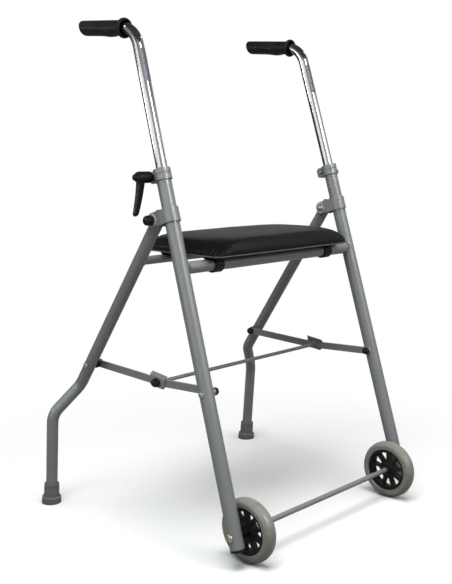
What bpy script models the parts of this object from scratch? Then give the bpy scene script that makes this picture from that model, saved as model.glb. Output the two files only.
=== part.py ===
# Two-wheeled folding walker with a flip-up padded seat.
# Metres, +Z up. The wheels are at the front, towards -Y. The user stands at +Y.
# The side at -X is the user's right, the side at +X the user's left.
# The origin is on the floor, in the middle of the footprint.

import math

import bmesh
import bpy
from mathutils import Matrix, Vector

# Fits
GAP = 0.0003            # between pieces that touch
RING_CLEARANCE = 0.0006  # straps round the splayed legs
HOLE_CLEARANCE = 0.0003  # a hole round its bolt

# Facets
TUBE_SIDES = 14
TURNED_SIDES = 16
BOLT_SIDES = 12
TYRE_SIDES = 36
GRIP_SIDES = 16
HUB_SIDES = 18
BEND_STEPS = 3
HANDLE_BEND_STEPS = 6
LUG_STEPS = 4
CLAMP_STEPS = 16
STRAP_STEPS = 12
TREAD_STEPS = 4
CORNER_STEPS = 5
CUSHION_STEPS_ACROSS = 8
CUSHION_STEPS_BACK = 5
RIM_SIDES = 22

# Side frames
AXLE_Y = -0.2364
FRONT_LEAN = math.radians(17.09)
SIDE_SPLAY = math.radians(1.2)
LEG_X_AT_AXLE = 0.2715
LEG_OD = 0.0286
LEG_WALL = 0.0015
LEG_TOP_Z = 0.7380
LEG_BOTTOM_Z = 0.0415
REAR_LEG_OD = 0.0250
REAR_LEG_WALL = 0.0015
REAR_LEG_ANGLE = math.radians(34.15)
REAR_LEG_ABOVE_PIVOT = 0.0120
UPPER_BEND_Z = 0.2690
UPPER_BEND_RADIUS = 0.0450
LOWER_BEND_Z = 0.2050
LOWER_BEND_BACK = 0.0344
LOWER_BEND_RADIUS = 0.0500
LOWER_LEG_X = 0.3193
LOWER_LEG_LEAN = math.radians(4.5)
PLUG_FLANGE = 0.0040
PLUG_STEM = 0.0110

# Wheels
WHEEL_DIAMETER = 0.1270
WHEEL_WIDTH = 0.0282
WHEEL_CENTRE_X = 0.2337
RIM_DIAMETER = 0.0920
RIM_WIDTH = 0.0240
RIM_FLANGE = 0.0045
SPOKE_WIDTH = 0.0060
SPOKE_DEPTH = 0.0170
RIM_OPENINGS = 9
RIM_PHASE = 0.56            # of an opening, from straight back to the first one
HUB_DIAMETER = 0.0230
HUB_LENGTH = 0.0310
HUB_INNER_LENGTH = 0.0127   # from the wheel's middle to the hub's inner face
SLEEVE_WALL = 0.0015
SLEEVE_FLANGE_DIAMETER = 0.0150
AXLE_BOLT_DIAMETER = 0.0080
AXLE_BOLT_GRIP = 0.0180
AXLE_HEAD_DIAMETER = 0.0166
AXLE_HEAD_HEIGHT = 0.0036
BORE_SPARE = 0.0020
TIE_ROD_DIAMETER = 0.0110

# Seat bars
FRONT_BAR_OD = 0.0240
FRONT_BAR_Z = 0.5507
REAR_BAR_OD = 0.0170
REAR_BAR_Z = 0.5544
BAR_WALL = 0.0015

# Hinge between the front and the rear frame
STRAP_THICKNESS = 0.0022
BRACKET_HEIGHT = 0.0280
BRACKET_Z = 0.6494
PIVOT_OFFSET = 0.0362
PIVOT_BOLT_DIAMETER = 0.0080
PIVOT_WASHER_DIAMETER = 0.0250
PIVOT_WASHER_THICKNESS = 0.0015
PIVOT_SLEEVE_DIAMETER = 0.0130
PIVOT_HEAD_DIAMETER = 0.0136
PIVOT_HEAD_HEIGHT = 0.0050
PIVOT_CAP_DIAMETER = 0.0200
PIVOT_CAP_LENGTH = 0.0135

# Height clamps
CLAMP_HEIGHT = 0.0250
CLAMP_STRAP = 0.0019
CLAMP_BOLT_OFFSET = 0.0211
CLAMP_BOLT_DIAMETER = 0.0060
CLAMP_LUG_SLOT = 0.0060
CLAMP_LUG_THICKNESS = 0.0038
CLAMP_NUT_DIAMETER = 0.0110
LEVER_HUB_DIAMETER = 0.0222
LEVER_HUB_LENGTH = 0.0385
LEVER_NECK_DIAMETER = 0.0110
LEVER_NECK_LENGTH = 0.0060
LEVER_BOSS_DIAMETER = 0.0136
LEVER_BOSS_LENGTH = 0.0075
LEVER_BORE_DEPTH = 0.0180
LEVER_BORE_SPARE = 0.0015
LEVER_ARM_LENGTH = 0.0735
LEVER_ARM_OUT = 0.0303
LEVER_ARM_WIDTH = 0.0150
LEVER_TIP_WIDTH = 0.0108
LEVER_ARM_DRIFT_OUT = 0.0070
LEVER_ARM_DRIFT_BACK = 0.0060

# Handles
HANDLE_PLAY = 0.0017        # all round the handle tube, in its leg
HANDLE_TRAVEL = 0.1500
HANDLE_WALL = 0.0015
HANDLE_INSERT = 0.1600
HANDLE_CORNER_Z = 0.9992
HANDLE_RISE = math.radians(4.6)
HANDLE_BEND_RADIUS = 0.0500
GRIP_FLANGE_Y = 0.0791
GRIP_LENGTH = 0.1300
GRIP_HEIGHT = 0.0300
GRIP_WIDTH = 0.0325
GRIP_FLANGE_DIAMETER = 0.0389
GRIP_FLANGE_THICKNESS = 0.0080
GRIP_NECK_LENGTH = 0.0120
GRIP_BUMP_AT = 0.0450
GRIP_BUMP = 0.0018
GRIP_END_ROUND = 0.0100
GRIP_END_WALL = 0.0100
GRIP_MOUTH_CLEARANCE = 0.0042
GRIP_MOUTH_DEPTH = 0.0070

# Folding stays, joined a little below the line between their bolts
STAY_HEIGHT = 0.0160
STAY_THICKNESS = 0.0030
FRONT_STAY_X = 0.2474       # inner face of the front stay
FRONT_STAY_Z = 0.3217       # its bolt on the front leg
REAR_STAY_Z = 0.3194        # the rear stay's bolt on the rear leg
MID_JOINT_Y = -0.0034
MID_JOINT_Z = 0.3130
STAY_BOLT_DIAMETER = 0.0060
STOP_LENGTH = 0.0440
STOP_TOP = 0.0130
STOP_BOTTOM = 0.0100
STOP_FLANGE_RISE = 0.0048
STOP_CORNER = 0.0060
STOP_THICKNESS = 0.0020
STOP_TILT = math.radians(6.5)
FOLD_ROD_DIAMETER = 0.0080
ROD_COLLAR_DIAMETER = 0.0144
ROD_COLLAR_WIDTH = 0.0016
MID_CAP_DIAMETER = 0.0186
MID_CAP_LENGTH = 0.0082
STAY_CAP_DIAMETER = 0.0150
STAY_CAP_LENGTH = 0.0080
STAY_HEAD_DIAMETER = 0.0124
STAY_HEAD_HEIGHT = 0.0032
STAY_SPACER_DIAMETER = 0.0190

# Seat
SEAT_WIDTH = 0.4140
SEAT_FRONT_Y = -0.1309
SEAT_DEPTH = 0.2200
SEAT_CORNER = 0.0160
SEAT_THICKNESS = 0.0385     # from the underside to the crown
SEAT_EDGE_HEIGHT = 0.0095   # the widest line of the cover, above the underside
SEAT_BOW = 0.0025           # the cover's sides swell by this between the corners
SEAT_PINCH = 1.1            # how far the corners are pulled down
BOARD_THICKNESS = 0.0080
BOARD_MARGIN = 0.0100
SEAT_UNDERSIDE_Z = 0.5668
CLIP_INSET = 0.0360         # from the side of the seat to the middle of a clip
CLIP_X = SEAT_WIDTH / 2 - CLIP_INSET
CLIP_WIDTH = 0.0226
CLIP_WALL = 0.0032
CLIP_FLANGE = 0.0250

# Feet
FOOT_BASE_DIAMETER = 0.0405
FOOT_COLLAR_DIAMETER = 0.0320
FOOT_BASE_HEIGHT = 0.0155
FOOT_HEIGHT = 0.0455
FOOT_FLOOR = 0.0080
FOOT_EDGE = 0.0012

WHEEL_R = WHEEL_DIAMETER / 2
AXLE_Z = WHEEL_R
LEG_R = LEG_OD / 2
REAR_R = REAR_LEG_OD / 2
HANDLE_R = LEG_R - LEG_WALL - HANDLE_PLAY
FRONT_BAR_R = FRONT_BAR_OD / 2
REAR_BAR_R = REAR_BAR_OD / 2
RING_R = LEG_R + RING_CLEARANCE
FRONT_STAY_OUT = FRONT_STAY_X + STAY_THICKNESS
REAR_STAY_OUT = FRONT_STAY_X - GAP
REAR_STAY_X = REAR_STAY_OUT - STAY_THICKNESS

SIDES = (("right", -1), ("left", 1))
X, Y, Z = Vector((1, 0, 0)), Vector((0, 1, 0)), Vector((0, 0, 1))


# Points on the frame

def side_x(z):
    """Distance of a side frame's plane from the middle at height z."""
    return LEG_X_AT_AXLE - (z - AXLE_Z) * math.tan(SIDE_SPLAY)


def front_point(side, z):
    """Point on a front leg's axis at height z."""
    y = AXLE_Y + (z - AXLE_Z) * math.tan(FRONT_LEAN)
    return Vector((side * side_x(z), y, z))


def front_direction(side):
    return (front_point(side, 1.0) - front_point(side, 0.0)).normalized()


# The straps sit square to the leg as seen from the side
STRAP_UP = Vector((0, math.sin(FRONT_LEAN), math.cos(FRONT_LEAN)))
STRAP_BACK = Vector((0, math.cos(FRONT_LEAN), -math.sin(FRONT_LEAN)))


def pivot_point(side):
    return front_point(side, BRACKET_Z) + STRAP_BACK * PIVOT_OFFSET


def rear_point(side, z):
    """Point on the straight upper part of a rear leg's axis at height z."""
    pivot = pivot_point(side)
    y = pivot.y + (pivot.z - z) * math.tan(REAR_LEG_ANGLE)
    return Vector((side * side_x(z), y, z))


def lower_point(side, z):
    """Point on the lower part of a rear leg's axis at height z."""
    y = rear_point(side, UPPER_BEND_Z).y + LOWER_BEND_BACK
    y += (LOWER_BEND_Z - z) * math.tan(LOWER_LEG_LEAN)
    return Vector((side * LOWER_LEG_X, y, z))


def clamp_point(side):
    top = front_point(side, LEG_TOP_Z)
    return top - front_direction(side) * CLAMP_HEIGHT / 2


def clamp_bolt_point(side):
    return clamp_point(side) + STRAP_BACK * CLAMP_BOLT_OFFSET


def front_stay_bolt(side):
    return front_point(side, FRONT_STAY_Z)


def rear_stay_bolt(side):
    return rear_point(side, REAR_STAY_Z)


def mid_joint(side):
    return Vector((side * FRONT_STAY_X, MID_JOINT_Y, MID_JOINT_Z))


def handle_point(side, z):
    """Point on a handle tube's axis at height z. The tube leans inwards as far as its play lets it."""
    play = (LEG_R - LEG_WALL) * math.cos(math.pi / TUBE_SIDES) - HANDLE_R - GAP
    above = (z - LEG_TOP_Z) / math.cos(FRONT_LEAN)
    inward = play + above * 2 * play / (HANDLE_INSERT + HANDLE_TRAVEL)
    return front_point(side, z) - X * side * inward


def handle_direction():
    return Vector((0, math.cos(HANDLE_RISE), math.sin(HANDLE_RISE)))


def grip_start(side):
    corner = handle_point(side, HANDLE_CORNER_Z)
    return corner + handle_direction() * (GRIP_FLANGE_Y - corner.y) / math.cos(HANDLE_RISE)


# Scene and materials

def clear_scene():
    for obj in list(bpy.data.objects):
        bpy.data.objects.remove(obj, do_unlink=True)


def material(name, colour, roughness, metallic=0.0):
    mat = bpy.data.materials.new(name)
    mat.use_nodes = True
    shader = mat.node_tree.nodes["Principled BSDF"]
    shader.inputs["Base Color"].default_value = (*colour, 1)
    shader.inputs["Roughness"].default_value = roughness
    shader.inputs["Metallic"].default_value = metallic
    mat.diffuse_color = (*colour, 1)
    return mat


PAINT = ((0.36, 0.38, 0.38), 0.42, 0.3)
CHROME = ((0.80, 0.80, 0.80), 0.12, 1.0)
BLACK = ((0.018, 0.018, 0.019), 0.5, 0.0)
RUBBER = ((0.025, 0.025, 0.025), 0.62, 0.0)
GREY_RUBBER = ((0.20, 0.20, 0.21), 0.7, 0.0)
TYRE = ((0.24, 0.24, 0.21), 0.45, 0.0)
VINYL = ((0.02, 0.019, 0.018), 0.42, 0.0)
NYLON = ((0.55, 0.55, 0.56), 0.5, 0.0)


def empty(name, point):
    """A joint's axis: the moving pieces are its children."""
    obj = bpy.data.objects.new(name, None)
    obj.empty_display_size = 0.03
    obj.location = point
    bpy.context.scene.collection.objects.link(obj)
    return obj


def make(name, bm, look, axis=None, smooth=35):
    """Turn a bmesh in world coordinates into a named object, on its joint's empty."""
    bmesh.ops.recalc_face_normals(bm, faces=bm.faces[:])
    if axis is not None:
        bmesh.ops.translate(bm, verts=bm.verts[:], vec=-axis.location)
    mesh = bpy.data.meshes.new(name)
    bm.to_mesh(mesh)
    bm.free()
    obj = bpy.data.objects.new(name, mesh)
    bpy.context.scene.collection.objects.link(obj)
    if axis is not None:
        obj.parent = axis
    mesh.shade_smooth()
    mesh.set_sharp_from_angle(angle=math.radians(smooth))
    if look is not None:
        mesh.materials.append(material(name, *look))
    return obj


def cut(obj, name, bm, operation="DIFFERENCE"):
    """Cut obj with a cutter made in world coordinates."""
    cutter = make(name, bm, None)
    cutter.hide_render = True
    cutter.display_type = "WIRE"
    mod = obj.modifiers.new(name, "BOOLEAN")
    mod.operation = operation
    mod.solver = "EXACT"
    mod.object = cutter


# Solids

def frame_to(direction, up=Z):
    """Rotation whose Z is the direction."""
    d = direction.normalized()
    if abs(d.dot(up)) > 0.99:
        up = Y
    x = up.cross(d).normalized()
    return Matrix((x, d.cross(x), d)).transposed()


def turned(bm, profile, base, direction, steps=TURNED_SIDES):
    """A turned solid. The profile is (radius, distance along the direction) pairs."""
    rot = frame_to(direction).to_4x4()
    place = Matrix.Translation(base) @ rot
    closed = profile[0][0] > 0 or profile[-1][0] > 0
    verts = [bm.verts.new(place @ Vector((r, 0, h))) for r, h in profile]
    edges = [bm.edges.new(pair) for pair in zip(verts, verts[1:])]
    if closed:
        edges.append(bm.edges.new((verts[-1], verts[0])))
    before = set(bm.verts) - set(verts)
    bmesh.ops.spin(bm, geom=verts + edges, cent=base, axis=direction, angle=math.tau,
                   steps=steps, use_merge=True)
    made = [v for v in bm.verts if v not in before]
    bmesh.ops.remove_doubles(bm, verts=made, dist=1e-6)


def cylinder(bm, start, end, radius, steps=BOLT_SIDES):
    length = (end - start).length
    turned(bm, [(0, 0), (radius, 0), (radius, length), (0, length)], start, end - start, steps)


def ring(bm, start, end, outer, inner, steps=TURNED_SIDES):
    length = (end - start).length
    profile = [(inner, 0), (outer, 0), (outer, length), (inner, length)]
    turned(bm, profile, start, end - start, steps)


def rounded_path(points, radii, steps):
    """The corner points of a bent tube, with an arc in place of each inner corner."""
    path = [points[0]]
    for a, corner, b, radius in zip(points, points[1:], points[2:], radii):
        to_a, to_b = (a - corner).normalized(), (b - corner).normalized()
        half = to_a.angle(to_b) / 2
        centre = corner + (to_a + to_b).normalized() * radius / math.sin(half)
        first = corner + to_a * radius / math.tan(half) - centre
        last = corner + to_b * radius / math.tan(half) - centre
        for i in range(steps + 1):
            turn = Matrix.Rotation(first.angle(last) * i / steps, 3, first.cross(last))
            path.append(centre + turn @ first)
    path.append(points[-1])
    return path


def swept_rings(bm, path, radius, sides):
    """Rings of vertices square to a path."""
    rings = []
    direction = (path[1] - path[0]).normalized()
    side = frame_to(direction).col[0].copy()
    for i, point in enumerate(path):
        a = (point - path[i - 1]).normalized() if i else direction
        b = (path[i + 1] - point).normalized() if i + 1 < len(path) else a
        tangent = (a + b).normalized()
        side = (side - tangent * side.dot(tangent)).normalized()
        across = tangent.cross(side)
        turn = [math.tau * k / sides for k in range(sides)]
        rings.append([bm.verts.new(point + (side * math.cos(t) + across * math.sin(t)) * radius)
                      for t in turn])
    return rings


def bridge(bm, one, two):
    n = len(one)
    for k in range(n):
        bm.faces.new((one[k], one[(k + 1) % n], two[(k + 1) % n], two[k]))


def tube(bm, path, outer, inner, sides=TUBE_SIDES):
    """A bent tube with open ends."""
    outside = swept_rings(bm, path, outer, sides)
    inside = swept_rings(bm, path, inner, sides)
    for a, b in zip(outside, outside[1:]):
        bridge(bm, a, b)
    for a, b in zip(inside, inside[1:]):
        bridge(bm, b, a)
    bridge(bm, inside[0], outside[0])
    bridge(bm, outside[-1], inside[-1])


def plate(bm, outline, origin, across, up, depth):
    """A flat outline in the plane of across and up, extruded by the vector depth."""
    verts = [bm.verts.new(origin + across * a + up * b) for a, b in outline]
    face = bm.faces.new(verts)
    result = bmesh.ops.extrude_face_region(bm, geom=[face])
    moved = [v for v in result["geom"] if isinstance(v, bmesh.types.BMVert)]
    bmesh.ops.translate(bm, verts=moved, vec=depth)


def arc(cx, cy, radius, start, end, steps):
    """Points on an arc, angles in degrees."""
    points = []
    for i in range(steps + 1):
        t = math.radians(start + (end - start) * i / steps)
        points.append((cx + radius * math.cos(t), cy + radius * math.sin(t)))
    return points


# Front frame

def front_leg(name, side):
    bm = bmesh.new()
    ends = [front_point(side, LEG_BOTTOM_Z), front_point(side, LEG_TOP_Z)]
    tube(bm, ends, LEG_R, LEG_R - LEG_WALL)
    leg = make(name + "_front_leg", bm, PAINT)
    holes = bmesh.new()
    for point, diameter in ((front_point(side, AXLE_Z), AXLE_BOLT_DIAMETER),
                            (front_stay_bolt(side), STAY_BOLT_DIAMETER)):
        cylinder(holes, point - X * LEG_OD, point + X * LEG_OD, diameter / 2 + HOLE_CLEARANCE)
    cut(leg, name + "_front_leg_holes", holes)


def leg_end_plug(name, side):
    bm = bmesh.new()
    stem = (LEG_R - LEG_WALL) * math.cos(math.pi / TUBE_SIDES) - GAP
    profile = [(0, PLUG_STEM), (stem, PLUG_STEM), (stem, -GAP), (LEG_R, -GAP),
               (LEG_R, -PLUG_FLANGE * 0.6), (LEG_R * 0.86, -PLUG_FLANGE), (0, -PLUG_FLANGE)]
    turned(bm, profile, front_point(side, LEG_BOTTOM_Z), front_direction(side))
    make(name + "_leg_end_plug", bm, BLACK)


def cross_bar(name, point, radius, leg_radius, leg_line, axis=None):
    """A tube along X, its ends cut to the legs that it is welded to."""
    bm = bmesh.new()
    reach = Vector((abs(point.x), 0, 0))
    middle = Vector((0, point.y, point.z))
    tube(bm, [middle - reach, middle + reach], radius, radius - BAR_WALL)
    bar = make(name, bm, PAINT, axis)
    for side_name, side in SIDES:
        saddle = bmesh.new()
        low, high = leg_line(side, point.z - leg_radius * 4), leg_line(side, point.z + leg_radius * 4)
        cylinder(saddle, low, high, leg_radius + GAP, TUBE_SIDES * 2)
        cut(bar, name + "_" + side_name + "_saddle", saddle)


def round_lug_ends(bm, centre, reach, radius):
    """Round the lugs' ends in the plane of their flat faces."""
    corners = []
    for edge in bm.edges:
        a, b = [v.co - centre for v in edge.verts]
        across = abs((a - b).normalized().dot(X)) > 0.99
        if across and min(a.dot(STRAP_BACK), b.dot(STRAP_BACK)) > reach - 1e-5:
            corners.append(edge)
    bmesh.ops.bevel(bm, geom=corners, offset=radius, segments=LUG_STEPS, profile=0.5,
                    affect="EDGES", clamp_overlap=False)


def hinge_bracket(name, side):
    """A strap round the leg, its two lugs on either side of the rear leg."""
    bm = bmesh.new()
    centre = front_point(side, BRACKET_Z)
    outer = RING_R + STRAP_THICKNESS
    reach = PIVOT_OFFSET + BRACKET_HEIGHT / 2
    outline = arc(0, 0, outer, 180, 360, STRAP_STEPS) + [(outer, reach), (RING_R, reach)]
    outline += arc(0, 0, RING_R, 360, 180, STRAP_STEPS) + [(-RING_R, reach), (-outer, reach)]
    plate(bm, outline, centre - STRAP_UP * BRACKET_HEIGHT / 2, X, STRAP_BACK,
          STRAP_UP * BRACKET_HEIGHT)
    round_lug_ends(bm, centre, reach, BRACKET_HEIGHT / 2 - GAP)
    bracket = make(name + "_hinge_bracket", bm, PAINT)
    cut_bolt_hole(bracket, pivot_point(side), PIVOT_BOLT_DIAMETER)


def cut_bolt_hole(obj, point, diameter):
    """A hole along X, its diameter the bolt's and a clearance."""
    hole = bmesh.new()
    cylinder(hole, point - X * LEG_OD, point + X * LEG_OD, diameter / 2 + HOLE_CLEARANCE)
    cut(obj, obj.name + "_hole", hole)


def clamp_outline():
    """A split collar with two lugs behind the leg."""
    inner_half = CLAMP_LUG_SLOT / 2
    outer_half = inner_half + CLAMP_LUG_THICKNESS
    outer = RING_R + CLAMP_STRAP
    reach = CLAMP_BOLT_OFFSET + LEVER_HUB_DIAMETER / 2
    root = math.degrees(math.acos(inner_half / RING_R))
    side = math.degrees(math.acos(outer_half / outer))
    points = arc(0, 0, outer, 180 - side, 360 + side, CLAMP_STEPS)
    points += [(outer_half, reach), (inner_half, reach)]
    points += arc(0, 0, RING_R, 360 + root, 180 - root, CLAMP_STEPS)
    points += [(-inner_half, reach), (-outer_half, reach)]
    return points


def height_clamp(name, side):
    bm = bmesh.new()
    centre = clamp_point(side)
    plate(bm, clamp_outline(), centre - STRAP_UP * CLAMP_HEIGHT / 2, X, STRAP_BACK,
          STRAP_UP * CLAMP_HEIGHT)
    reach = CLAMP_BOLT_OFFSET + LEVER_HUB_DIAMETER / 2
    round_lug_ends(bm, centre, reach, LEVER_HUB_DIAMETER / 2)
    clamp = make(name + "_height_clamp", bm, PAINT)
    cut_bolt_hole(clamp, clamp_bolt_point(side), CLAMP_BOLT_DIAMETER)


def lug_face():
    """Distance of a clamp lug's outer face from the leg's axis."""
    return CLAMP_LUG_SLOT / 2 + CLAMP_LUG_THICKNESS


def clamp_bolt(name, side):
    """The bolt that the lever turns on, with its domed nut against the inner lug."""
    bm = bmesh.new()
    inner = clamp_bolt_point(side) - X * side * (lug_face() + GAP)
    radius, nut = CLAMP_BOLT_DIAMETER / 2, CLAMP_NUT_DIAMETER / 2
    reach = lug_face() * 2 + GAP * 2 + LEVER_BORE_DEPTH - LEVER_BORE_SPARE
    profile = [(0, -nut * 0.95), (nut * 0.45, -nut * 0.86), (nut * 0.8, -nut * 0.6),
               (nut, -nut * 0.25), (nut, 0), (radius, 0), (radius, reach), (0, reach)]
    turned(bm, profile, inner, X * side, BOLT_SIDES)
    make(name + "_clamp_bolt", bm, CHROME)


def hub_inner_x():
    """Inner face of a wheel's hub."""
    return WHEEL_CENTRE_X - HUB_INNER_LENGTH


def tie_rod_end():
    return hub_inner_x() - GAP


def axle_tie_rod():
    bm = bmesh.new()
    end = tie_rod_end()
    r, bore = TIE_ROD_DIAMETER / 2, AXLE_BOLT_DIAMETER / 2 + HOLE_CLEARANCE
    depth = AXLE_BOLT_GRIP + BORE_SPARE
    profile = [(0, depth), (bore, depth), (bore, 0), (r, 0), (r, 2 * end), (bore, 2 * end),
               (bore, 2 * end - depth), (0, 2 * end - depth)]
    turned(bm, profile, Vector((-end, AXLE_Y, AXLE_Z)), X)
    make("axle_tie_rod", bm, PAINT)


def pan_head(radius, height, shank, length):
    """Profile of a pan head screw, from the head's crown to the shank's end."""
    return [(0, -height), (radius * 0.55, -height * 0.92), (radius * 0.86, -height * 0.62),
            (radius, -height * 0.2), (radius, 0), (shank, 0), (shank, length), (0, length)]


def leg_face(radius):
    """Distance of a leg's side face from the leg's axis, along X."""
    return radius / math.cos(SIDE_SPLAY)


def axle_bolt(name, side):
    bm = bmesh.new()
    head = front_point(side, AXLE_Z) + X * side * (leg_face(LEG_R) + GAP)
    length = abs(head.x) - tie_rod_end() + AXLE_BOLT_GRIP
    profile = pan_head(AXLE_HEAD_DIAMETER / 2, AXLE_HEAD_HEIGHT, AXLE_BOLT_DIAMETER / 2, length)
    turned(bm, profile, head, -X * side, BOLT_SIDES)
    make(name + "_axle_bolt", bm, CHROME)


def axle_sleeve(name, side):
    """The sleeve that the wheel turns on, with a flange between the hub and the leg."""
    bm = bmesh.new()
    bore = AXLE_BOLT_DIAMETER / 2 + HOLE_CLEARANCE
    outer = bore + SLEEVE_WALL
    shoulder = HUB_LENGTH + GAP
    tilt = SLEEVE_FLANGE_DIAMETER / 2 * math.tan(SIDE_SPLAY)
    face = side_x(AXLE_Z) - leg_face(LEG_R) - GAP - tilt
    length = face - hub_inner_x()
    flange = SLEEVE_FLANGE_DIAMETER / 2
    profile = [(bore, 0), (outer, 0), (outer, shoulder), (flange, shoulder), (flange, length),
               (bore, length)]
    start = Vector((side * hub_inner_x(), AXLE_Y, AXLE_Z))
    turned(bm, profile, start, X * side, BOLT_SIDES)
    make(name + "_axle_sleeve", bm, NYLON)


# Hinge hardware

def hinge_sleeve(name, side):
    """A sleeve between the bracket's lugs, on which the rear leg turns."""
    bm = bmesh.new()
    point = pivot_point(side)
    half = X * (RING_R - GAP)
    bore = PIVOT_BOLT_DIAMETER / 2 + HOLE_CLEARANCE
    ring(bm, point - half, point + half, PIVOT_SLEEVE_DIAMETER / 2, bore, BOLT_SIDES)
    make(name + "_hinge_sleeve", bm, NYLON)


def hinge_face():
    """Outer face of a bracket's lug, from the leg's middle."""
    return RING_R + STRAP_THICKNESS


def hinge_washer(name, side):
    bm = bmesh.new()
    start = pivot_point(side) + X * side * (hinge_face() + GAP)
    bore = PIVOT_BOLT_DIAMETER / 2 + HOLE_CLEARANCE
    ring(bm, start, start + X * side * PIVOT_WASHER_THICKNESS, PIVOT_WASHER_DIAMETER / 2, bore)
    make(name + "_hinge_washer", bm, NYLON)


def washer_face():
    return hinge_face() + GAP + PIVOT_WASHER_THICKNESS


def hinge_bolt(name, side):
    """A bolt with a washer face under its head, against the inner lug."""
    bm = bmesh.new()
    flange, t = PIVOT_WASHER_DIAMETER / 2, PIVOT_WASHER_THICKNESS
    head = PIVOT_HEAD_DIAMETER / 2
    shank = PIVOT_BOLT_DIAMETER / 2
    start = pivot_point(side) - X * side * (hinge_face() + GAP)
    length = hinge_face() + washer_face() + 2 * GAP + PIVOT_CAP_LENGTH * 0.6
    rise = t + PIVOT_HEAD_HEIGHT
    profile = [(0, -rise), (head * 0.6, -rise), (head, -rise + head * 0.25), (head, -t),
               (flange, -t), (flange, 0), (shank, 0), (shank, length), (0, length)]
    turned(bm, profile, start, X * side)
    make(name + "_hinge_bolt", bm, CHROME)


def hinge_cap(name, side):
    """A domed black cap nut with a blind hole."""
    bm = bmesh.new()
    base = pivot_point(side) + X * side * (washer_face() + GAP)
    r, length = PIVOT_CAP_DIAMETER / 2, PIVOT_CAP_LENGTH
    bore, depth = PIVOT_BOLT_DIAMETER / 2 + HOLE_CLEARANCE, PIVOT_CAP_LENGTH * 0.6 + GAP
    profile = [(0, depth), (bore, depth), (bore, 0), (r, 0), (r, length * 0.62),
               (r * 0.9, length * 0.86), (r * 0.66, length * 0.97), (0, length)]
    turned(bm, profile, base, X * side)
    make(name + "_hinge_cap", bm, BLACK)


# Rear frame

def rear_leg_path(side):
    pivot = pivot_point(side)
    down = (rear_point(side, 0) - rear_point(side, 1)).normalized()
    top = pivot - down * REAR_LEG_ABOVE_PIVOT
    end = lower_point(side, FOOT_FLOOR + GAP)
    corners = [top, rear_point(side, UPPER_BEND_Z), lower_point(side, LOWER_BEND_Z), end]
    return rounded_path(corners, (UPPER_BEND_RADIUS, LOWER_BEND_RADIUS), BEND_STEPS)


def rear_leg(name, side, axis):
    bm = bmesh.new()
    tube(bm, rear_leg_path(side), REAR_R, REAR_R - REAR_LEG_WALL)
    leg = make(name + "_rear_leg", bm, PAINT, axis)
    holes = bmesh.new()
    for point, diameter in ((pivot_point(side), PIVOT_SLEEVE_DIAMETER),
                            (rear_stay_bolt(side), STAY_BOLT_DIAMETER)):
        cylinder(holes, point - X * LEG_OD, point + X * LEG_OD, diameter / 2 + HOLE_CLEARANCE)
    cut(leg, name + "_rear_leg_holes", holes)


def foot_tip(name, side, axis):
    bm = bmesh.new()
    foot = lower_point(side, 0)
    up = (lower_point(side, 1) - foot).normalized()
    collar, base = FOOT_COLLAR_DIAMETER / 2, FOOT_BASE_DIAMETER / 2
    bore = REAR_R + GAP
    edge, sink = FOOT_EDGE, FOOT_BASE_DIAMETER * math.tan(LOWER_LEG_LEAN)
    profile = [(0, FOOT_FLOOR), (bore, FOOT_FLOOR), (bore, FOOT_HEIGHT),
               (collar - edge, FOOT_HEIGHT), (collar, FOOT_HEIGHT - edge),
               (collar, FOOT_BASE_HEIGHT + edge), (base - edge * 2, FOOT_BASE_HEIGHT),
               (base - edge * 0.5, FOOT_BASE_HEIGHT - edge * 2), (base, edge), (base, -sink),
               (0, -sink)]
    turned(bm, profile, foot, up)
    bmesh.ops.bisect_plane(bm, geom=bm.verts[:] + bm.edges[:] + bm.faces[:],
                           plane_co=(0, 0, 0), plane_no=(0, 0, -1), clear_outer=True)
    rim = [e for e in bm.edges if e.is_boundary]
    bmesh.ops.holes_fill(bm, edges=rim, sides=0)
    make(name + "_foot_tip", bm, GREY_RUBBER, axis)


# Folding stays

def stay(name, a, b, x_low, side, axis):
    """A flat bar between two bolts, its ends round. x_low is its inner face."""
    bm = bmesh.new()
    along = Vector((0, b.y - a.y, b.z - a.z))
    length = along.length
    along.normalize()
    up = X.cross(along) if along.y > 0 else along.cross(X)
    r = STAY_HEIGHT / 2
    outline = arc(length, 0, r, -90, 90, 8) + arc(0, 0, r, 90, 270, 8)
    origin = Vector((side * x_low, a.y, a.z))
    plate(bm, outline, origin, along, up, X * side * STAY_THICKNESS)
    bar = make(name, bm, PAINT, axis)
    for point in (a, b):
        cut_bolt_hole(bar, Vector((side * x_low, point.y, point.z)), STAY_BOLT_DIAMETER)


def stop_bracket(name, side, axis):
    """A plate over the front stay's joint, its top edge turned in over the stay."""
    bm = bmesh.new()
    centre = mid_joint(side)
    forward = Vector((0, -math.cos(STOP_TILT), -math.sin(STOP_TILT)))
    up = Vector((0, -math.sin(STOP_TILT), math.cos(STOP_TILT)))
    out = X * side
    inner = FRONT_STAY_OUT + GAP - FRONT_STAY_X
    t, low, top = STOP_THICKNESS, -STOP_BOTTOM, STOP_TOP
    section = [(inner, low), (inner + t, low), (inner + t, top), (GAP, top + STOP_FLANGE_RISE),
               (GAP, top + STOP_FLANGE_RISE - t * 1.4), (inner, top - t * 0.4)]
    origin = centre - forward * STOP_LENGTH / 2
    plate(bm, section, origin, out, up, forward * STOP_LENGTH)
    corners = []
    for edge in bm.edges:
        a, b = [v.co - centre for v in edge.verts]
        if abs((a - b).normalized().dot(X)) > 0.99 and max(a.dot(up), b.dot(up)) < low + 1e-5:
            corners.append(edge)
    bmesh.ops.bevel(bm, geom=corners, offset=STOP_CORNER, segments=4, profile=0.5,
                    affect="EDGES", clamp_overlap=False)
    bracket = make(name + "_stop_bracket", bm, PAINT, axis)
    cut_bolt_hole(bracket, centre, STAY_BOLT_DIAMETER)


def stop_face():
    return FRONT_STAY_OUT + GAP + STOP_THICKNESS + GAP


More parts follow.
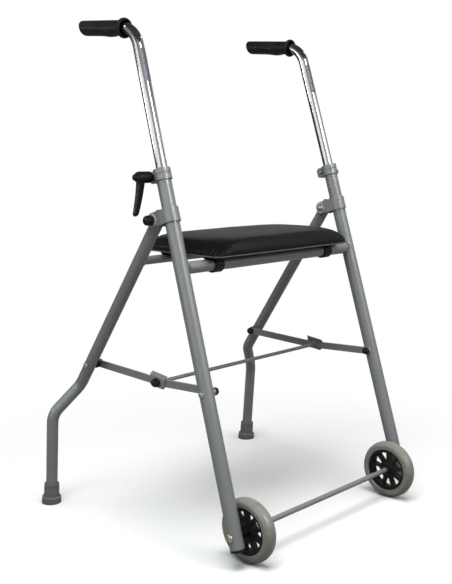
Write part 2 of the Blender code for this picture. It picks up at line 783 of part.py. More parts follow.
def mid_screw(name, side, axis):
    """A capped screw that holds the front stay to its bracket."""
    bm = bmesh.new()
    base = mid_joint(side)
    shank = stop_face() - FRONT_STAY_X - GAP
    base.x = side * stop_face()
    r, length, stud = MID_CAP_DIAMETER / 2, MID_CAP_LENGTH, STAY_BOLT_DIAMETER / 2
    profile = [(0, -shank), (stud, -shank), (stud, 0), (r, 0), (r, length * 0.42),
               (r * 0.86, length * 0.74), (r * 0.55, length * 0.94), (0, length)]
    turned(bm, profile, base, X * side)
    make(name + "_mid_joint_screw", bm, BLACK, axis)


def fold_rod(axis):
    """The cross rod between the two rear stays, with a collar and a stud at each end."""
    bm = bmesh.new()
    face = REAR_STAY_X - GAP
    tip = REAR_STAY_OUT
    r, stud, collar = FOLD_ROD_DIAMETER / 2, STAY_BOLT_DIAMETER / 2, ROD_COLLAR_DIAMETER / 2
    half = [(0, tip), (stud, tip), (stud, face), (collar, face), (collar, face - ROD_COLLAR_WIDTH),
            (r, face - ROD_COLLAR_WIDTH)]
    profile = half + [(radius, -h) for radius, h in reversed(half)]
    turned(bm, profile, Vector((0, MID_JOINT_Y, MID_JOINT_Z)), X, BOLT_SIDES)
    make("fold_rod", bm, PAINT, axis)


def stay_bolt(name, point, leg_radius, inner_face, axis=None):
    """A screw through the leg and the stay, its head outside and its cap nut inside."""
    bm = bmesh.new()
    out = X * math.copysign(1, point.x)
    start = point + out * (leg_face(leg_radius) + GAP)
    length = abs(start.x) - inner_face + GAP
    shank, cap = STAY_BOLT_DIAMETER / 2, STAY_CAP_DIAMETER / 2
    profile = pan_head(STAY_HEAD_DIAMETER / 2, STAY_HEAD_HEIGHT, shank, length)[:-1]
    profile += [(cap, length), (cap, length + STAY_CAP_LENGTH * 0.42),
                (cap * 0.86, length + STAY_CAP_LENGTH * 0.74),
                (cap * 0.55, length + STAY_CAP_LENGTH * 0.94), (0, length + STAY_CAP_LENGTH)]
    turned(bm, profile, start, -out, BOLT_SIDES)
    make(name, bm, BLACK, axis)


def rear_stay_spacer(name, side, axis):
    """A ring between the rear leg and its stay."""
    bm = bmesh.new()
    point = rear_stay_bolt(side)
    radius = STAY_SPACER_DIAMETER / 2
    inner_face = side_x(point.z) - leg_face(REAR_R)
    a = Vector((side * (REAR_STAY_OUT + GAP), point.y, point.z))
    b = Vector((side * (inner_face - GAP - radius * math.tan(SIDE_SPLAY)), point.y, point.z))
    ring(bm, a, b, radius, STAY_BOLT_DIAMETER / 2 + HOLE_CLEARANCE, BOLT_SIDES)
    make(name + "_rear_stay_spacer", bm, BLACK, axis)


# Handles

def handle_path(side):
    bottom = handle_point(side, LEG_TOP_Z - HANDLE_INSERT * math.cos(FRONT_LEAN))
    corner = handle_point(side, HANDLE_CORNER_Z)
    end = grip_start(side) + handle_direction() * (GRIP_LENGTH - GRIP_END_WALL - GAP)
    return rounded_path([bottom, corner, end], (HANDLE_BEND_RADIUS,), HANDLE_BEND_STEPS)


def handle_tube(name, side, axis):
    bm = bmesh.new()
    tube(bm, handle_path(side), HANDLE_R, HANDLE_R - HANDLE_WALL)
    make(name + "_handle_tube", bm, CHROME, axis)


def grip_sections():
    """(distance from the flange's face, half width, height above, height below)."""
    flange, thick = GRIP_FLANGE_DIAMETER / 2, GRIP_FLANGE_THICKNESS
    sections = []
    for share, size in ((0.0, 0.93), (0.15, 0.99), (0.45, 1.0), (0.75, 0.985), (1.0, 0.88)):
        sections.append((thick * share, flange * size, flange * size, flange * size))
    wide, high = GRIP_WIDTH / 2, GRIP_HEIGHT / 2
    neck, bump, end = thick + GRIP_NECK_LENGTH, GRIP_BUMP_AT, GRIP_LENGTH - GRIP_END_ROUND
    sections.append((thick + GRIP_NECK_LENGTH * 0.4, wide * 0.94, high, high * 0.95))
    sections.append((neck, wide * 0.94, high, high * 0.94))
    sections.append(((neck + bump) / 2, wide * 0.96, high, high + GRIP_BUMP * 0.6))
    sections.append((bump, wide * 0.99, high, high + GRIP_BUMP))
    sections.append((bump * 2 - neck, wide, high, high + GRIP_BUMP * 0.4))
    sections.append((bump * 3 - neck * 2, wide, high, high))
    sections.append((end, wide, high, high * 0.99))
    for angle in (30, 55, 75):
        t = math.radians(angle)
        drop = GRIP_END_ROUND * (1 - math.cos(t))
        sections.append((end + GRIP_END_ROUND * math.sin(t), wide - drop * 0.6, high - drop * 0.12,
                         high - drop))
    sections.append((GRIP_LENGTH, wide - GRIP_END_ROUND * 0.7, high - GRIP_END_ROUND * 0.2,
                     high - GRIP_END_ROUND))
    return sections


def grip(name, side, axis):
    bm = bmesh.new()
    start = grip_start(side)
    along = handle_direction()
    up = X.cross(along)
    sides = GRIP_SIDES
    rings = []
    for s, wide, above, below in grip_sections():
        verts = []
        for k in range(sides):
            t = math.tau * k / sides
            high = above if math.sin(t) > 0 else below
            offset = X * wide * math.cos(t) + up * high * math.sin(t)
            verts.append(bm.verts.new(start + along * s + offset))
        rings.append(verts)
    for a, b in zip(rings, rings[1:]):
        bridge(bm, a, b)
    bm.faces.new(rings[0])
    bm.faces.new(rings[-1])
    obj = make(name + "_grip", bm, RUBBER, axis)
    bore = bmesh.new()
    r = HANDLE_R + GAP
    mouth, depth = HANDLE_R + GRIP_MOUTH_CLEARANCE, GRIP_MOUTH_DEPTH
    profile = [(0, -depth), (mouth, -depth), (mouth, depth), (r, depth + GRIP_MOUTH_CLEARANCE),
               (r, GRIP_LENGTH - GRIP_END_WALL), (0, GRIP_LENGTH - GRIP_END_WALL)]
    turned(bore, profile, start, along)
    cut(obj, name + "_grip_bore", bore)


# Clamp levers

def lever_base(side):
    """Where the lever's hub meets the clamp's outer lug."""
    return clamp_bolt_point(side) + X * side * (lug_face() + GAP)


def lever_arm_sections():
    """(distance below the hub's axis, half width, drift outwards, drift backwards)."""
    length, top, tip = LEVER_ARM_LENGTH, LEVER_ARM_WIDTH / 2, LEVER_TIP_WIDTH / 2
    out, back = LEVER_ARM_DRIFT_OUT, LEVER_ARM_DRIFT_BACK
    sections = []
    for share in (0.05, 0.30, 0.60, 0.88):
        half = top + (tip - top) * share
        sections.append((length * share, half, out * share ** 1.5, back * share ** 1.5))
    for angle in (25, 50, 72):
        t = math.radians(angle)
        half = tip * math.cos(t)
        s = length - tip + tip * math.sin(t)
        sections.append((s, half, out * (s / length) ** 1.5, back * (s / length) ** 1.5))
    return sections


def clamp_lever(name, side, axis):
    bm = bmesh.new()
    out = X * side
    r, length = LEVER_HUB_DIAMETER / 2, LEVER_HUB_LENGTH
    bore, depth = CLAMP_BOLT_DIAMETER / 2 + HOLE_CLEARANCE, LEVER_BORE_DEPTH
    boss, end = LEVER_BOSS_DIAMETER / 2, LEVER_HUB_LENGTH + LEVER_BOSS_LENGTH
    neck, reach = LEVER_NECK_DIAMETER / 2, LEVER_NECK_LENGTH
    profile = [(0, depth), (bore, depth), (bore, 0), (neck, 0), (neck, reach),
               (r * 0.93, reach + r * 0.14), (r, reach + r * 0.28), (r, length - r * 0.42),
               (r * 0.88, length - r * 0.14), (boss * 1.2, length), (boss, end - boss * 0.3),
               (boss * 0.7, end), (0, end)]
    turned(bm, profile, lever_base(side), out, HUB_SIDES)
    hub = make(name + "_clamp_lever", bm, BLACK, axis)
    arm = bmesh.new()
    top = lever_base(side) + out * LEVER_ARM_OUT
    rings = []
    for s, half, drift_out, drift_back in lever_arm_sections():
        verts = []
        centre = top - Z * s + Y * drift_back + out * drift_out
        for k in range(BOLT_SIDES):
            t = math.tau * (k + 0.5) / BOLT_SIDES
            c, n = math.cos(t), math.sin(t)
            px = math.copysign(abs(c) ** 0.7, c) * half
            py = math.copysign(abs(n) ** 0.7, n) * half
            verts.append(arm.verts.new(centre + X * px + Y * py))
        rings.append(verts)
    for a, b in zip(rings, rings[1:]):
        bridge(arm, a, b)
    arm.faces.new(rings[0])
    arm.faces.new(rings[-1])
    cut(hub, name + "_clamp_lever_arm", arm, "UNION")


# Wheels

def wheel_tyre(name, side, axis):
    bm = bmesh.new()
    rim, half, r = RIM_DIAMETER / 2 + GAP, WHEEL_WIDTH / 2, WHEEL_R
    depth = r - rim
    profile = [(rim, -half * 0.86), (rim + depth * 0.12, -half * 0.97)]
    for i in range(TREAD_STEPS + 1):
        t = math.radians(-90 + 180 * i / TREAD_STEPS)
        rise = depth * 0.64 * math.cos(t)
        profile.append((rim + depth * 0.36 + rise, half * math.sin(t)))
    profile += [(rim + depth * 0.12, half * 0.97), (rim, half * 0.86)]
    centre = Vector((side * WHEEL_CENTRE_X, AXLE_Y, AXLE_Z))
    turned(bm, profile, centre, X, TYRE_SIDES)
    make(name + "_wheel_tyre", bm, TYRE, axis)


def wheel_rim(name, side, axis):
    bm = bmesh.new()
    r, flange, half = RIM_DIAMETER / 2, RIM_FLANGE, RIM_WIDTH / 2
    web, hub = SPOKE_DEPTH / 2, HUB_DIAMETER / 2
    bore = AXLE_BOLT_DIAMETER / 2 + HOLE_CLEARANCE + SLEEVE_WALL + GAP
    a, b = -HUB_INNER_LENGTH, HUB_LENGTH - HUB_INNER_LENGTH
    profile = [(bore, a), (hub, a), (hub, -web), (r - flange, -web), (r - flange, -half), (r, -half),
               (r, half), (r - flange, half), (r - flange, web), (hub, web), (hub, b), (bore, b)]
    centre = Vector((side * WHEEL_CENTRE_X, AXLE_Y, AXLE_Z))
    turned(bm, profile, centre, X * side, RIM_SIDES)
    rim = make(name + "_wheel_rim", bm, BLACK, axis)
    cut(rim, name + "_wheel_rim_openings", rim_openings(centre))


def rim_openings(centre):
    """Windows between the spokes, narrow at the hub and wide at the rim."""
    holes = bmesh.new()
    inner = HUB_DIAMETER / 2 + SPOKE_WIDTH * 0.6
    outer = RIM_DIAMETER / 2 - RIM_FLANGE - SPOKE_WIDTH * 0.35
    step = math.tau / RIM_OPENINGS
    half_in = max(step / 2 - SPOKE_WIDTH / 2 / inner, step / 12)
    half_out = step / 2 - SPOKE_WIDTH / 2 / outer
    for k in range(RIM_OPENINGS):
        t = (k + RIM_PHASE) * step
        corners = ((inner, t - half_in), (outer, t - half_out), (outer, t), (outer, t + half_out),
                   (inner, t + half_in))
        outline = [(radius * math.cos(turn), radius * math.sin(turn)) for radius, turn in corners]
        plate(holes, outline, centre - X * RIM_WIDTH, Y, Z, X * RIM_WIDTH * 2)
    return holes


# Seat

def seat_centre():
    return Vector((0, SEAT_FRONT_Y + SEAT_DEPTH / 2, 0))


def rounded_rectangle(width, depth, corner, across=1, back=1):
    """An outline with round corners, its sides in equal steps."""
    corners = []
    for cx, cy, start in ((1, 1, 0), (-1, 1, 90), (-1, -1, 180), (1, -1, 270)):
        corners.append(arc(cx * (width / 2 - corner), cy * (depth / 2 - corner), corner,
                           start, start + 90, CORNER_STEPS))
    points = []
    for one, two, steps in zip(corners, corners[1:] + corners[:1], (across, back) * 2):
        points += one
        (x0, y0), (x1, y1) = one[-1], two[0]
        for i in range(1, steps):
            points.append((x0 + (x1 - x0) * i / steps, y0 + (y1 - y0) * i / steps))
    return points


def seat_board(axis):
    bm = bmesh.new()
    centre = seat_centre() + Z * SEAT_UNDERSIDE_Z
    outline = rounded_rectangle(SEAT_WIDTH - 2 * BOARD_MARGIN, SEAT_DEPTH - 2 * BOARD_MARGIN,
                                SEAT_CORNER - BOARD_MARGIN)
    plate(bm, outline, centre, X, Y, Z * BOARD_THICKNESS)
    make("seat_board", bm, BLACK, axis)


def cushion_loop(inset, corner):
    return rounded_rectangle(SEAT_WIDTH - 2 * inset, SEAT_DEPTH - 2 * inset, corner,
                             CUSHION_STEPS_ACROSS, CUSHION_STEPS_BACK)


def bowed(x, y):
    """Swell the middle of each side outwards."""
    wide, deep = SEAT_WIDTH / 2, SEAT_DEPTH / 2
    return (x * (1 + SEAT_BOW / wide * (1 - (y / deep) ** 2)),
            y * (1 + SEAT_BOW / deep * (1 - (x / wide) ** 2)))


def cover_height(x, y, inset):
    """Height of the cover over a point: a crown with full sides, pulled down at the corners."""
    wide, deep = SEAT_WIDTH / 2, SEAT_DEPTH / 2
    rise = (1 - (1 - inset / deep) ** 4) ** 0.29
    pinch = 1 - SEAT_PINCH * abs(x / wide) ** 6 * abs(y / deep) ** 6
    return SEAT_EDGE_HEIGHT + (SEAT_THICKNESS - SEAT_EDGE_HEIGHT) * rise * pinch


def cushion_loops():
    """The cushion's outlines, from the pocket's roof down, round the edge and up to the crown."""
    pocket = BOARD_MARGIN - GAP
    loops = []
    for height in (BOARD_THICKNESS + GAP, 0.0):
        outline = cushion_loop(pocket, SEAT_CORNER - pocket)
        loops.append([Vector((x, y, height)) for x, y in outline])
    for inset, height in ((BOARD_MARGIN * 0.55, 0.0), (BOARD_MARGIN * 0.22, SEAT_EDGE_HEIGHT * 0.13),
                          (BOARD_MARGIN * 0.08, SEAT_EDGE_HEIGHT * 0.47)):
        outline = cushion_loop(inset, SEAT_CORNER - inset)
        loops.append([Vector((*bowed(x, y), height)) for x, y in outline])
    for share in (0.0, 0.006, 0.018, 0.035, 0.060, 0.100, 0.165, 0.265, 0.41, 0.62, 0.86):
        inset = SEAT_DEPTH / 2 * share
        corner = min(SEAT_CORNER + inset * 0.3, SEAT_DEPTH / 2 - inset)
        outline = cushion_loop(inset, corner)
        loops.append([Vector((*bowed(x, y), cover_height(x, y, inset))) for x, y in outline])
    return loops


def seat_cushion(axis):
    """Padded top, with a pocket under it for the board."""
    bm = bmesh.new()
    centre = seat_centre() + Z * SEAT_UNDERSIDE_Z
    loops = [[bm.verts.new(centre + point) for point in loop] for loop in cushion_loops()]
    for a, b in zip(loops, loops[1:]):
        bridge(bm, a, b)
    bm.faces.new(loops[0])
    bm.faces.new(loops[-1])
    make("seat_cushion", bm, VINYL, axis, smooth=50)


def front_clip_point():
    return front_point(1, FRONT_BAR_Z)


def rear_clip_point():
    return rear_point(1, REAR_BAR_Z)


def seat_clip(name, side, axis):
    """A ring round the front bar, open behind and below, on a flange under the board."""
    bm = bmesh.new()
    bar = front_clip_point()
    r = FRONT_BAR_R + GAP
    outer = r + CLIP_WALL
    top = SEAT_UNDERSIDE_Z - GAP - bar.z
    step = CLIP_WALL * 0.8
    outline = [(-CLIP_FLANGE, top), (-CLIP_FLANGE, top - step)]
    outline += arc(0, 0, outer, 152, 296, 18)
    outline += arc(0, 0, r, 296, 26, 30)
    outline += arc(0, 0, outer, 26, 27, 1)
    outline += [(CLIP_FLANGE, top - step), (CLIP_FLANGE, top)]
    low = Vector((side * CLIP_X - CLIP_WIDTH / 2, bar.y, bar.z))
    plate(bm, outline, low, Y, Z, X * CLIP_WIDTH)
    make(name + "_seat_hinge_clip", bm, BLACK, axis)


def seat_rest(name, side, axis):
    """A saddle that sits on the rear bar, closed behind it and open in front."""
    bm = bmesh.new()
    bar = rear_clip_point()
    r = REAR_BAR_R + GAP
    outer = r + CLIP_WALL
    top = SEAT_UNDERSIDE_Z - GAP - bar.z
    step = CLIP_WALL * 0.8
    drop = REAR_BAR_R * 0.8
    outline = [(-CLIP_FLANGE, top), (-CLIP_FLANGE, top - step)]
    outline += arc(0, 0, r, 128, 0, 14)
    outline += [(r + 0.0003, -drop), (outer, -drop), (outer + 0.001, 0.0)]
    outline += [(CLIP_FLANGE, top - step), (CLIP_FLANGE, top)]
    low = Vector((side * CLIP_X - CLIP_WIDTH / 2, bar.y, bar.z))
    plate(bm, outline, low, Y, Z, X * CLIP_WIDTH)
    make(name + "_seat_rest", bm, BLACK, axis)


# Assembly

def build_front_frame():
    for name, side in SIDES:
        front_leg(name, side)
        leg_end_plug(name, side)
        hinge_bracket(name, side)
        hinge_sleeve(name, side)
        hinge_washer(name, side)
        hinge_bolt(name, side)
        hinge_cap(name, side)
        height_clamp(name, side)
        clamp_bolt(name, side)
        axle_bolt(name, side)
        axle_sleeve(name, side)
        stay_bolt(name + "_front_stay_bolt", front_stay_bolt(side), LEG_R, FRONT_STAY_X)
    axle_tie_rod()
    cross_bar("front_seat_bar", front_point(1, FRONT_BAR_Z), FRONT_BAR_R, LEG_R, front_point)


def build_rear_frame():
    pivot = pivot_point(1)
    axis = empty("rear_frame_fold_axis", (0, pivot.y, pivot.z))
    for name, side in SIDES:
        rear_leg(name, side, axis)
        foot_tip(name, side, axis)
        rear_stay_spacer(name, side, axis)
        stay_bolt(name + "_rear_stay_bolt", rear_stay_bolt(side), REAR_R, REAR_STAY_X, axis)
    cross_bar("rear_seat_bar", rear_point(1, REAR_BAR_Z), REAR_BAR_R, REAR_R, rear_point, axis)


def build_stays():
    front = front_stay_bolt(1)
    front_axis = empty("front_stay_axis", (0, front.y, front.z))
    rear = rear_stay_bolt(1)
    rear_axis = empty("rear_stay_axis", (0, rear.y, rear.z))
    for name, side in SIDES:
        stay(name + "_front_stay", front_stay_bolt(side), mid_joint(side), FRONT_STAY_X, side,
             front_axis)
        stop_bracket(name, side, front_axis)
        mid_screw(name, side, front_axis)
        stay(name + "_rear_stay", rear_stay_bolt(side), mid_joint(side), REAR_STAY_X, side,
             rear_axis)
    fold_rod(rear_axis)


def build_handles():
    for name, side in SIDES:
        axis = empty(name + "_handle_slide_axis", handle_point(side, LEG_TOP_Z))
        handle_tube(name, side, axis)
        grip(name, side, axis)
        turn = empty(name + "_lever_axis", clamp_bolt_point(side))
        clamp_lever(name, side, turn)


def build_wheels():
    for name, side in SIDES:
        axis = empty(name + "_wheel_axis", (side * WHEEL_CENTRE_X, AXLE_Y, AXLE_Z))
        wheel_tyre(name, side, axis)
        wheel_rim(name, side, axis)


def build_seat():
    bar = front_clip_point()
    axis = empty("seat_flip_axis", (0, bar.y, bar.z))
    seat_board(axis)
    seat_cushion(axis)
    for name, side in SIDES:
        seat_clip(name, side, axis)
        seat_rest(name, side, axis)


def main():
    clear_scene()
    build_front_frame()
    build_rear_frame()
    build_stays()
    build_handles()
    build_wheels()
    build_seat()


main()
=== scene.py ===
# Two-wheeled folding walker with a flip-up padded seat: its looks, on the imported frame.
# Metres, +Z up. The wheels are at the front, towards -Y, and the user's right is at -X.
# Each right-hand piece is modelled in place, and the left-hand one is its mirror image.

from math import (acos, atan2, copysign, cos, degrees, exp, hypot, pi, radians, sin, sqrt,
                  tan, tau)

import bmesh
import bpy
from mathutils import Matrix, Vector, noise


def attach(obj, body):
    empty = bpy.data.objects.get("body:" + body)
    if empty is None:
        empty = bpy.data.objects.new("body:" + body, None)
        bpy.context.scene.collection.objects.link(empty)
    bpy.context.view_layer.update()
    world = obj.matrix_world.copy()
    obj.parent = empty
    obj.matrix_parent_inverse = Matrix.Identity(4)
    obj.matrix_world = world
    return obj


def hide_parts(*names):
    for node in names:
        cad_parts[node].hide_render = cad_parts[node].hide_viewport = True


X, Y, Z = Vector((1, 0, 0)), Vector((0, 1, 0)), Vector((0, 0, 1))
SMOOTH = radians(38)
GAP = 0.0003               # between pieces that would otherwise touch

# The side frames
AXLE_Y, AXLE_Z = -0.2364, 0.0635
FRONT_LEAN = radians(17.09)
SIDE_SPLAY = radians(1.2)
LEG_X_AT_AXLE = 0.2715
LEG_R, LEG_WALL = 0.0143, 0.0015
LEG_TOP_Z, LEG_BOTTOM_Z = 0.7380, 0.0400
LEG_TRIM = 0.0025          # the open end and its collar, below the upper level
REAR_R = 0.0125
REAR_LEG_ANGLE = radians(34.15)
REAR_LEG_ABOVE_PIVOT = 0.0120
UPPER_BEND_Z, UPPER_BEND_RADIUS = 0.2690, 0.0450
LOWER_BEND_Z, LOWER_BEND_RADIUS = 0.2050, 0.0500
LOWER_BEND_BACK = 0.0344
LOWER_LEG_X = 0.3193
LOWER_LEG_LEAN = radians(4.5)
FRONT_BAR_R, FRONT_BAR_Z = 0.0120, 0.5507
REAR_BAR_R, REAR_BAR_Z = 0.0085, 0.5544
BAR_WALL = TUBE_WALL = 0.0015

# The hinge between the frames, and the height clamps
RING_R = LEG_R + 0.0006
STRAP = 0.0022
BRACKET_Z, BRACKET_HEIGHT = 0.6494, 0.0280
PIVOT_OFFSET = 0.0362
SHANK_R = 0.0040           # of the axle bolts and the hinge bolts
STUD_R = 0.0030            # of the clamp bolts and the stays' screws
HINGE_FACE = RING_R + STRAP
CLAMP_HEIGHT, CLAMP_STRAP = 0.0226, 0.0019
CLAMP_BOLT_DROP = 0.0125
CLAMP_BOLT_OFFSET = 0.0211
CLAMP_SLOT, CLAMP_LUG, CLAMP_CORNER = 0.0060, 0.0038, 0.0075
HUB_R, HUB_LENGTH = 0.0111, 0.0405
ARM_LENGTH, ARM_OUT = 0.0735, 0.0303
ARM_TOP, ARM_TIP = 0.0084, 0.0057
ARM_DRIFT_OUT, ARM_DRIFT_BACK = 0.0096, 0.0066

# The handles
HANDLE_R = 0.0111
HANDLE_LEAN = 0.00966      # inward for each metre up
HANDLE_SHIFT = 0.00128     # inward at the leg's top
HANDLE_INSERT = 0.1600
HANDLE_CORNER_Z = 0.9992
HANDLE_RISE = radians(4.6)
HANDLE_BEND_RADIUS = 0.0500
GRIP_START_Y = 0.0791
GRIP_LENGTH = 0.1300
GRIP_HIGH, GRIP_WIDE, GRIP_FLANGE = 0.0150, 0.01625, 0.01945
STRIP_LOW_Z, STRIP_HIGH_Z = 0.8960, 0.9580

# The folding stays
STAY_HIGH, STAY_THICK = 0.0160, 0.0030
STAY_X = 0.2474
FRONT_STAY_Z, REAR_STAY_Z = 0.3217, 0.3194
MID_Y, MID_Z = -0.0034, 0.3130
STOP_TILT = radians(6.5)

# The wheels
WHEEL_X, WHEEL_R, WHEEL_HALF = 0.2337, 0.0635, 0.0141
RIM_R, RIM_HALF, RIM_FLANGE = 0.0460, 0.0120, 0.0045
SPOKE_WIDTH, SPOKE_DEPTH = 0.0056, 0.0130
OPENINGS = 9
WINDOW_PHASE, LEFT_TURN = 0.56, 0.15      # in windows: how far each wheel has rolled
HUB_OUT, HUB_IN, RIM_HUB_R = 0.0183, 0.0127, 0.0115
WINDOW_FROM_HUB, WINDOW_FROM_RING = 0.0085, 0.0034

# The seat
SEAT_WIDE, SEAT_DEEP = 0.4140, 0.2200
SEAT_Y = -0.1309 + SEAT_DEEP / 2
SEAT_Z = 0.5668            # its underside
SEAT_THICK, SEAT_EDGE, SEAT_SHOULDER = 0.0385, 0.0095, 0.0150
PAD_CORNER, PAD_BOW = 0.0160, 0.0025      # its corners' radius, and how far its edges bow out
PAD_SKIN, PAD_BASE = 0.0010, 0.0004       # how far the pad lies inside its cover's surfaces
NEAR_PULL, OTHER_PULL = 0.94, 0.66        # how far the cover is pulled down at its corners
PLEAT_REACH, PLEAT_BAND, PLEAT_DEPTH, PLEAT_RATE = 0.060, 0.016, 0.0028, 900
SWELL_LIMIT = 0.0012
CLIP_X, CLIP_WIDE, CLIP_WALL, CLIP_FLANGE = SEAT_WIDE / 2 - 0.0360, 0.0226, 0.0032, 0.0250

# The studio
CARD_AWAY, CARD_TOP = 2.9, 3.45
# name, its first and last angle, its lower and upper edge, and how bright it is
CARDS = (("dark_card", 60, 134, 1.0, CARD_TOP, 0.10), ("low_dark_card", 60, 150, 0, 1.0, 0.04),
         ("dim_card", 134, 152, 1.0, 2.2, 0.32), ("high_left_card", 134, 205, 2.2, CARD_TOP, 0.13),
         ("camera_card", 205, 242, 0, CARD_TOP, 0.34), ("middle_card", 242, 260, 0, CARD_TOP, 0.46),
         ("high_right_card", 260, 318, 2.5, CARD_TOP, 0.16), ("low_right_card", 255, 318, 0, 0.9, 0.10),
         ("grey_card", 318, 355, 0, CARD_TOP, 0.24), ("low_back_card", 355, 420, 0, 1.9, 0.42),
         ("high_back_card", 355, 420, 1.9, CARD_TOP, 0.15))
CAMERA_AT, CAMERA_FORWARD, CAMERA_ROLL = (-1.4258, -1.3244, 0.7731), (0.70657, 0.68305, -0.18491), 0.0006
LENS, LENS_SHIFT = 55.92, (0.0030, 0.0467)
WHITE = (1, 1, 1, 1)

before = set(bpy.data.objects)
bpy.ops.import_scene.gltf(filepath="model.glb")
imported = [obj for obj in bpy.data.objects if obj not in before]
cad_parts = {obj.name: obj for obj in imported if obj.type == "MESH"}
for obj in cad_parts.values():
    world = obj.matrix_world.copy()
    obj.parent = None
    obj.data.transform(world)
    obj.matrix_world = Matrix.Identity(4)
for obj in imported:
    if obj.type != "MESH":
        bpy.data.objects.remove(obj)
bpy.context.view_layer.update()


# Points on the right-hand frame

def side_x(z):
    return LEG_X_AT_AXLE - (z - AXLE_Z) * tan(SIDE_SPLAY)


def front_point(z):
    return Vector((-side_x(z), AXLE_Y + (z - AXLE_Z) * tan(FRONT_LEAN), z))


FRONT_UP = (front_point(1) - front_point(0)).normalized()
STRAP_UP = Vector((0, sin(FRONT_LEAN), cos(FRONT_LEAN)))
STRAP_BACK = Vector((0, cos(FRONT_LEAN), -sin(FRONT_LEAN)))
PIVOT = front_point(BRACKET_Z) + STRAP_BACK * PIVOT_OFFSET


def rear_point(z):
    return Vector((-side_x(z), PIVOT.y + (PIVOT.z - z) * tan(REAR_LEG_ANGLE), z))


def lower_point(z):
    y = rear_point(UPPER_BEND_Z).y + LOWER_BEND_BACK + (LOWER_BEND_Z - z) * tan(LOWER_LEG_LEAN)
    return Vector((-LOWER_LEG_X, y, z))


def handle_point(z):
    above = (z - LEG_TOP_Z) / cos(FRONT_LEAN)
    return front_point(z) + X * (HANDLE_SHIFT + above * HANDLE_LEAN)


HANDLE_ALONG = Vector((0, cos(HANDLE_RISE), sin(HANDLE_RISE)))
HANDLE_CORNER = handle_point(HANDLE_CORNER_Z)
GRIP_START = HANDLE_CORNER + HANDLE_ALONG * (GRIP_START_Y - HANDLE_CORNER.y) / HANDLE_ALONG.y
CLAMP_BOLT = front_point(LEG_TOP_Z) - FRONT_UP * CLAMP_BOLT_DROP + STRAP_BACK * CLAMP_BOLT_OFFSET
CLAMP = front_point(LEG_TOP_Z) - FRONT_UP * (LEG_TRIM + CLAMP_HEIGHT / 2)
LUG_FACE = CLAMP_SLOT / 2 + CLAMP_LUG
WHEEL_CENTRE = Vector((-WHEEL_X, AXLE_Y, AXLE_Z))


# Finishes

def rgb(code):
    """The linear colour of a six-figure screen colour."""
    parts = [int(code[i:i + 2], 16) / 255 for i in (0, 2, 4)]
    return (*[c / 12.92 if c <= 0.04045 else ((c + 0.055) / 1.055) ** 2.4 for c in parts], 1)


class Signal:
    """An output of a node. Arithmetic on signals adds Math nodes."""

    def __init__(self, wiring, socket):
        self.wiring = wiring
        self.socket = socket

    def __add__(self, other):
        return self.wiring.math("ADD", self, other)

    def __sub__(self, other):
        return self.wiring.math("SUBTRACT", self, other)

    def __rsub__(self, other):
        return self.wiring.math("SUBTRACT", other, self)

    def __mul__(self, other):
        return self.wiring.math("MULTIPLY", self, other)

    __radd__ = __add__
    __rmul__ = __mul__


class Wiring:
    """A tree of nodes, and what goes into it."""

    def __init__(self, owner):
        owner.use_nodes = True
        self.tree = owner.node_tree

    def node(self, kind, settings=None, sockets=None, out=0):
        node = self.tree.nodes.new(kind)
        for key, value in (settings or {}).items():
            setattr(node, key, value)
        for key, value in (sockets or {}).items():
            self.feed(node.inputs[key], value)
        return Signal(self, node.outputs[out])

    def feed(self, target, value):
        if isinstance(value, Signal):
            self.tree.links.new(value.socket, target)
        else:
            target.default_value = value

    def math(self, operation, first, second):
        return self.node("ShaderNodeMath", {"operation": operation}, {0: first, 1: second})

    def seen_by(self, ray):
        """1 where this kind of ray arrives, and 0 otherwise."""
        return self.node("ShaderNodeLightPath", out=f"Is {ray} Ray")

    def either_shader(self, factor, first, second):
        return self.node("ShaderNodeMixShader", None, {0: factor, 1: first, 2: second})


class Finish(Wiring):
    """A material, the slot that it stands for, its shader and the nodes that feed it."""

    def __init__(self, name, slot=None, **constants):
        self.material = bpy.data.materials.new(name)
        super().__init__(self.material)
        self.slot = slot
        self.shader = self.tree.nodes["Principled BSDF"]
        self.paint(**constants)
        self.place = self.node("ShaderNodeTexCoord", out="Object")

    def noise(self, scale, detail=2.0, stretch=None):
        place = self.place
        if stretch:
            place = self.node("ShaderNodeMapping", {"vector_type": "POINT"},
                              {"Vector": place, "Scale": stretch})
        return self.node("ShaderNodeTexNoise", {"noise_dimensions": "3D"},
                         {"Vector": place, "Scale": scale, "Detail": detail}, "Fac")

    def cells(self, scale, feature="F1"):
        return self.node("ShaderNodeTexVoronoi", {"feature": feature},
                         {"Vector": self.place, "Scale": scale, "Detail": 0.0}, "Distance")

    def spread(self, signal, low, high):
        """A smooth step of the signal from low to high."""
        return self.node("ShaderNodeMapRange", {"interpolation_type": "SMOOTHSTEP"},
                         {"Value": signal, "From Min": low, "From Max": high})

    def mix(self, factor, first, second):
        """A blend of two colours, given as signals or as screen colours."""
        first, second = [rgb(part) if isinstance(part, str) else part for part in (first, second)]
        return self.node("ShaderNodeMix", {"data_type": "RGBA"}, {0: factor, 6: first, 7: second}, 2)

    def bump(self, height, distance, strength):
        self.feed(self.shader.inputs["Normal"],
                  self.node("ShaderNodeBump", None,
                            {"Height": height, "Distance": distance, "Strength": strength}))

    def paint(self, **values):
        for socket, value in values.items():
            self.feed(self.shader.inputs[socket.replace("_", " ")], value)
        return self


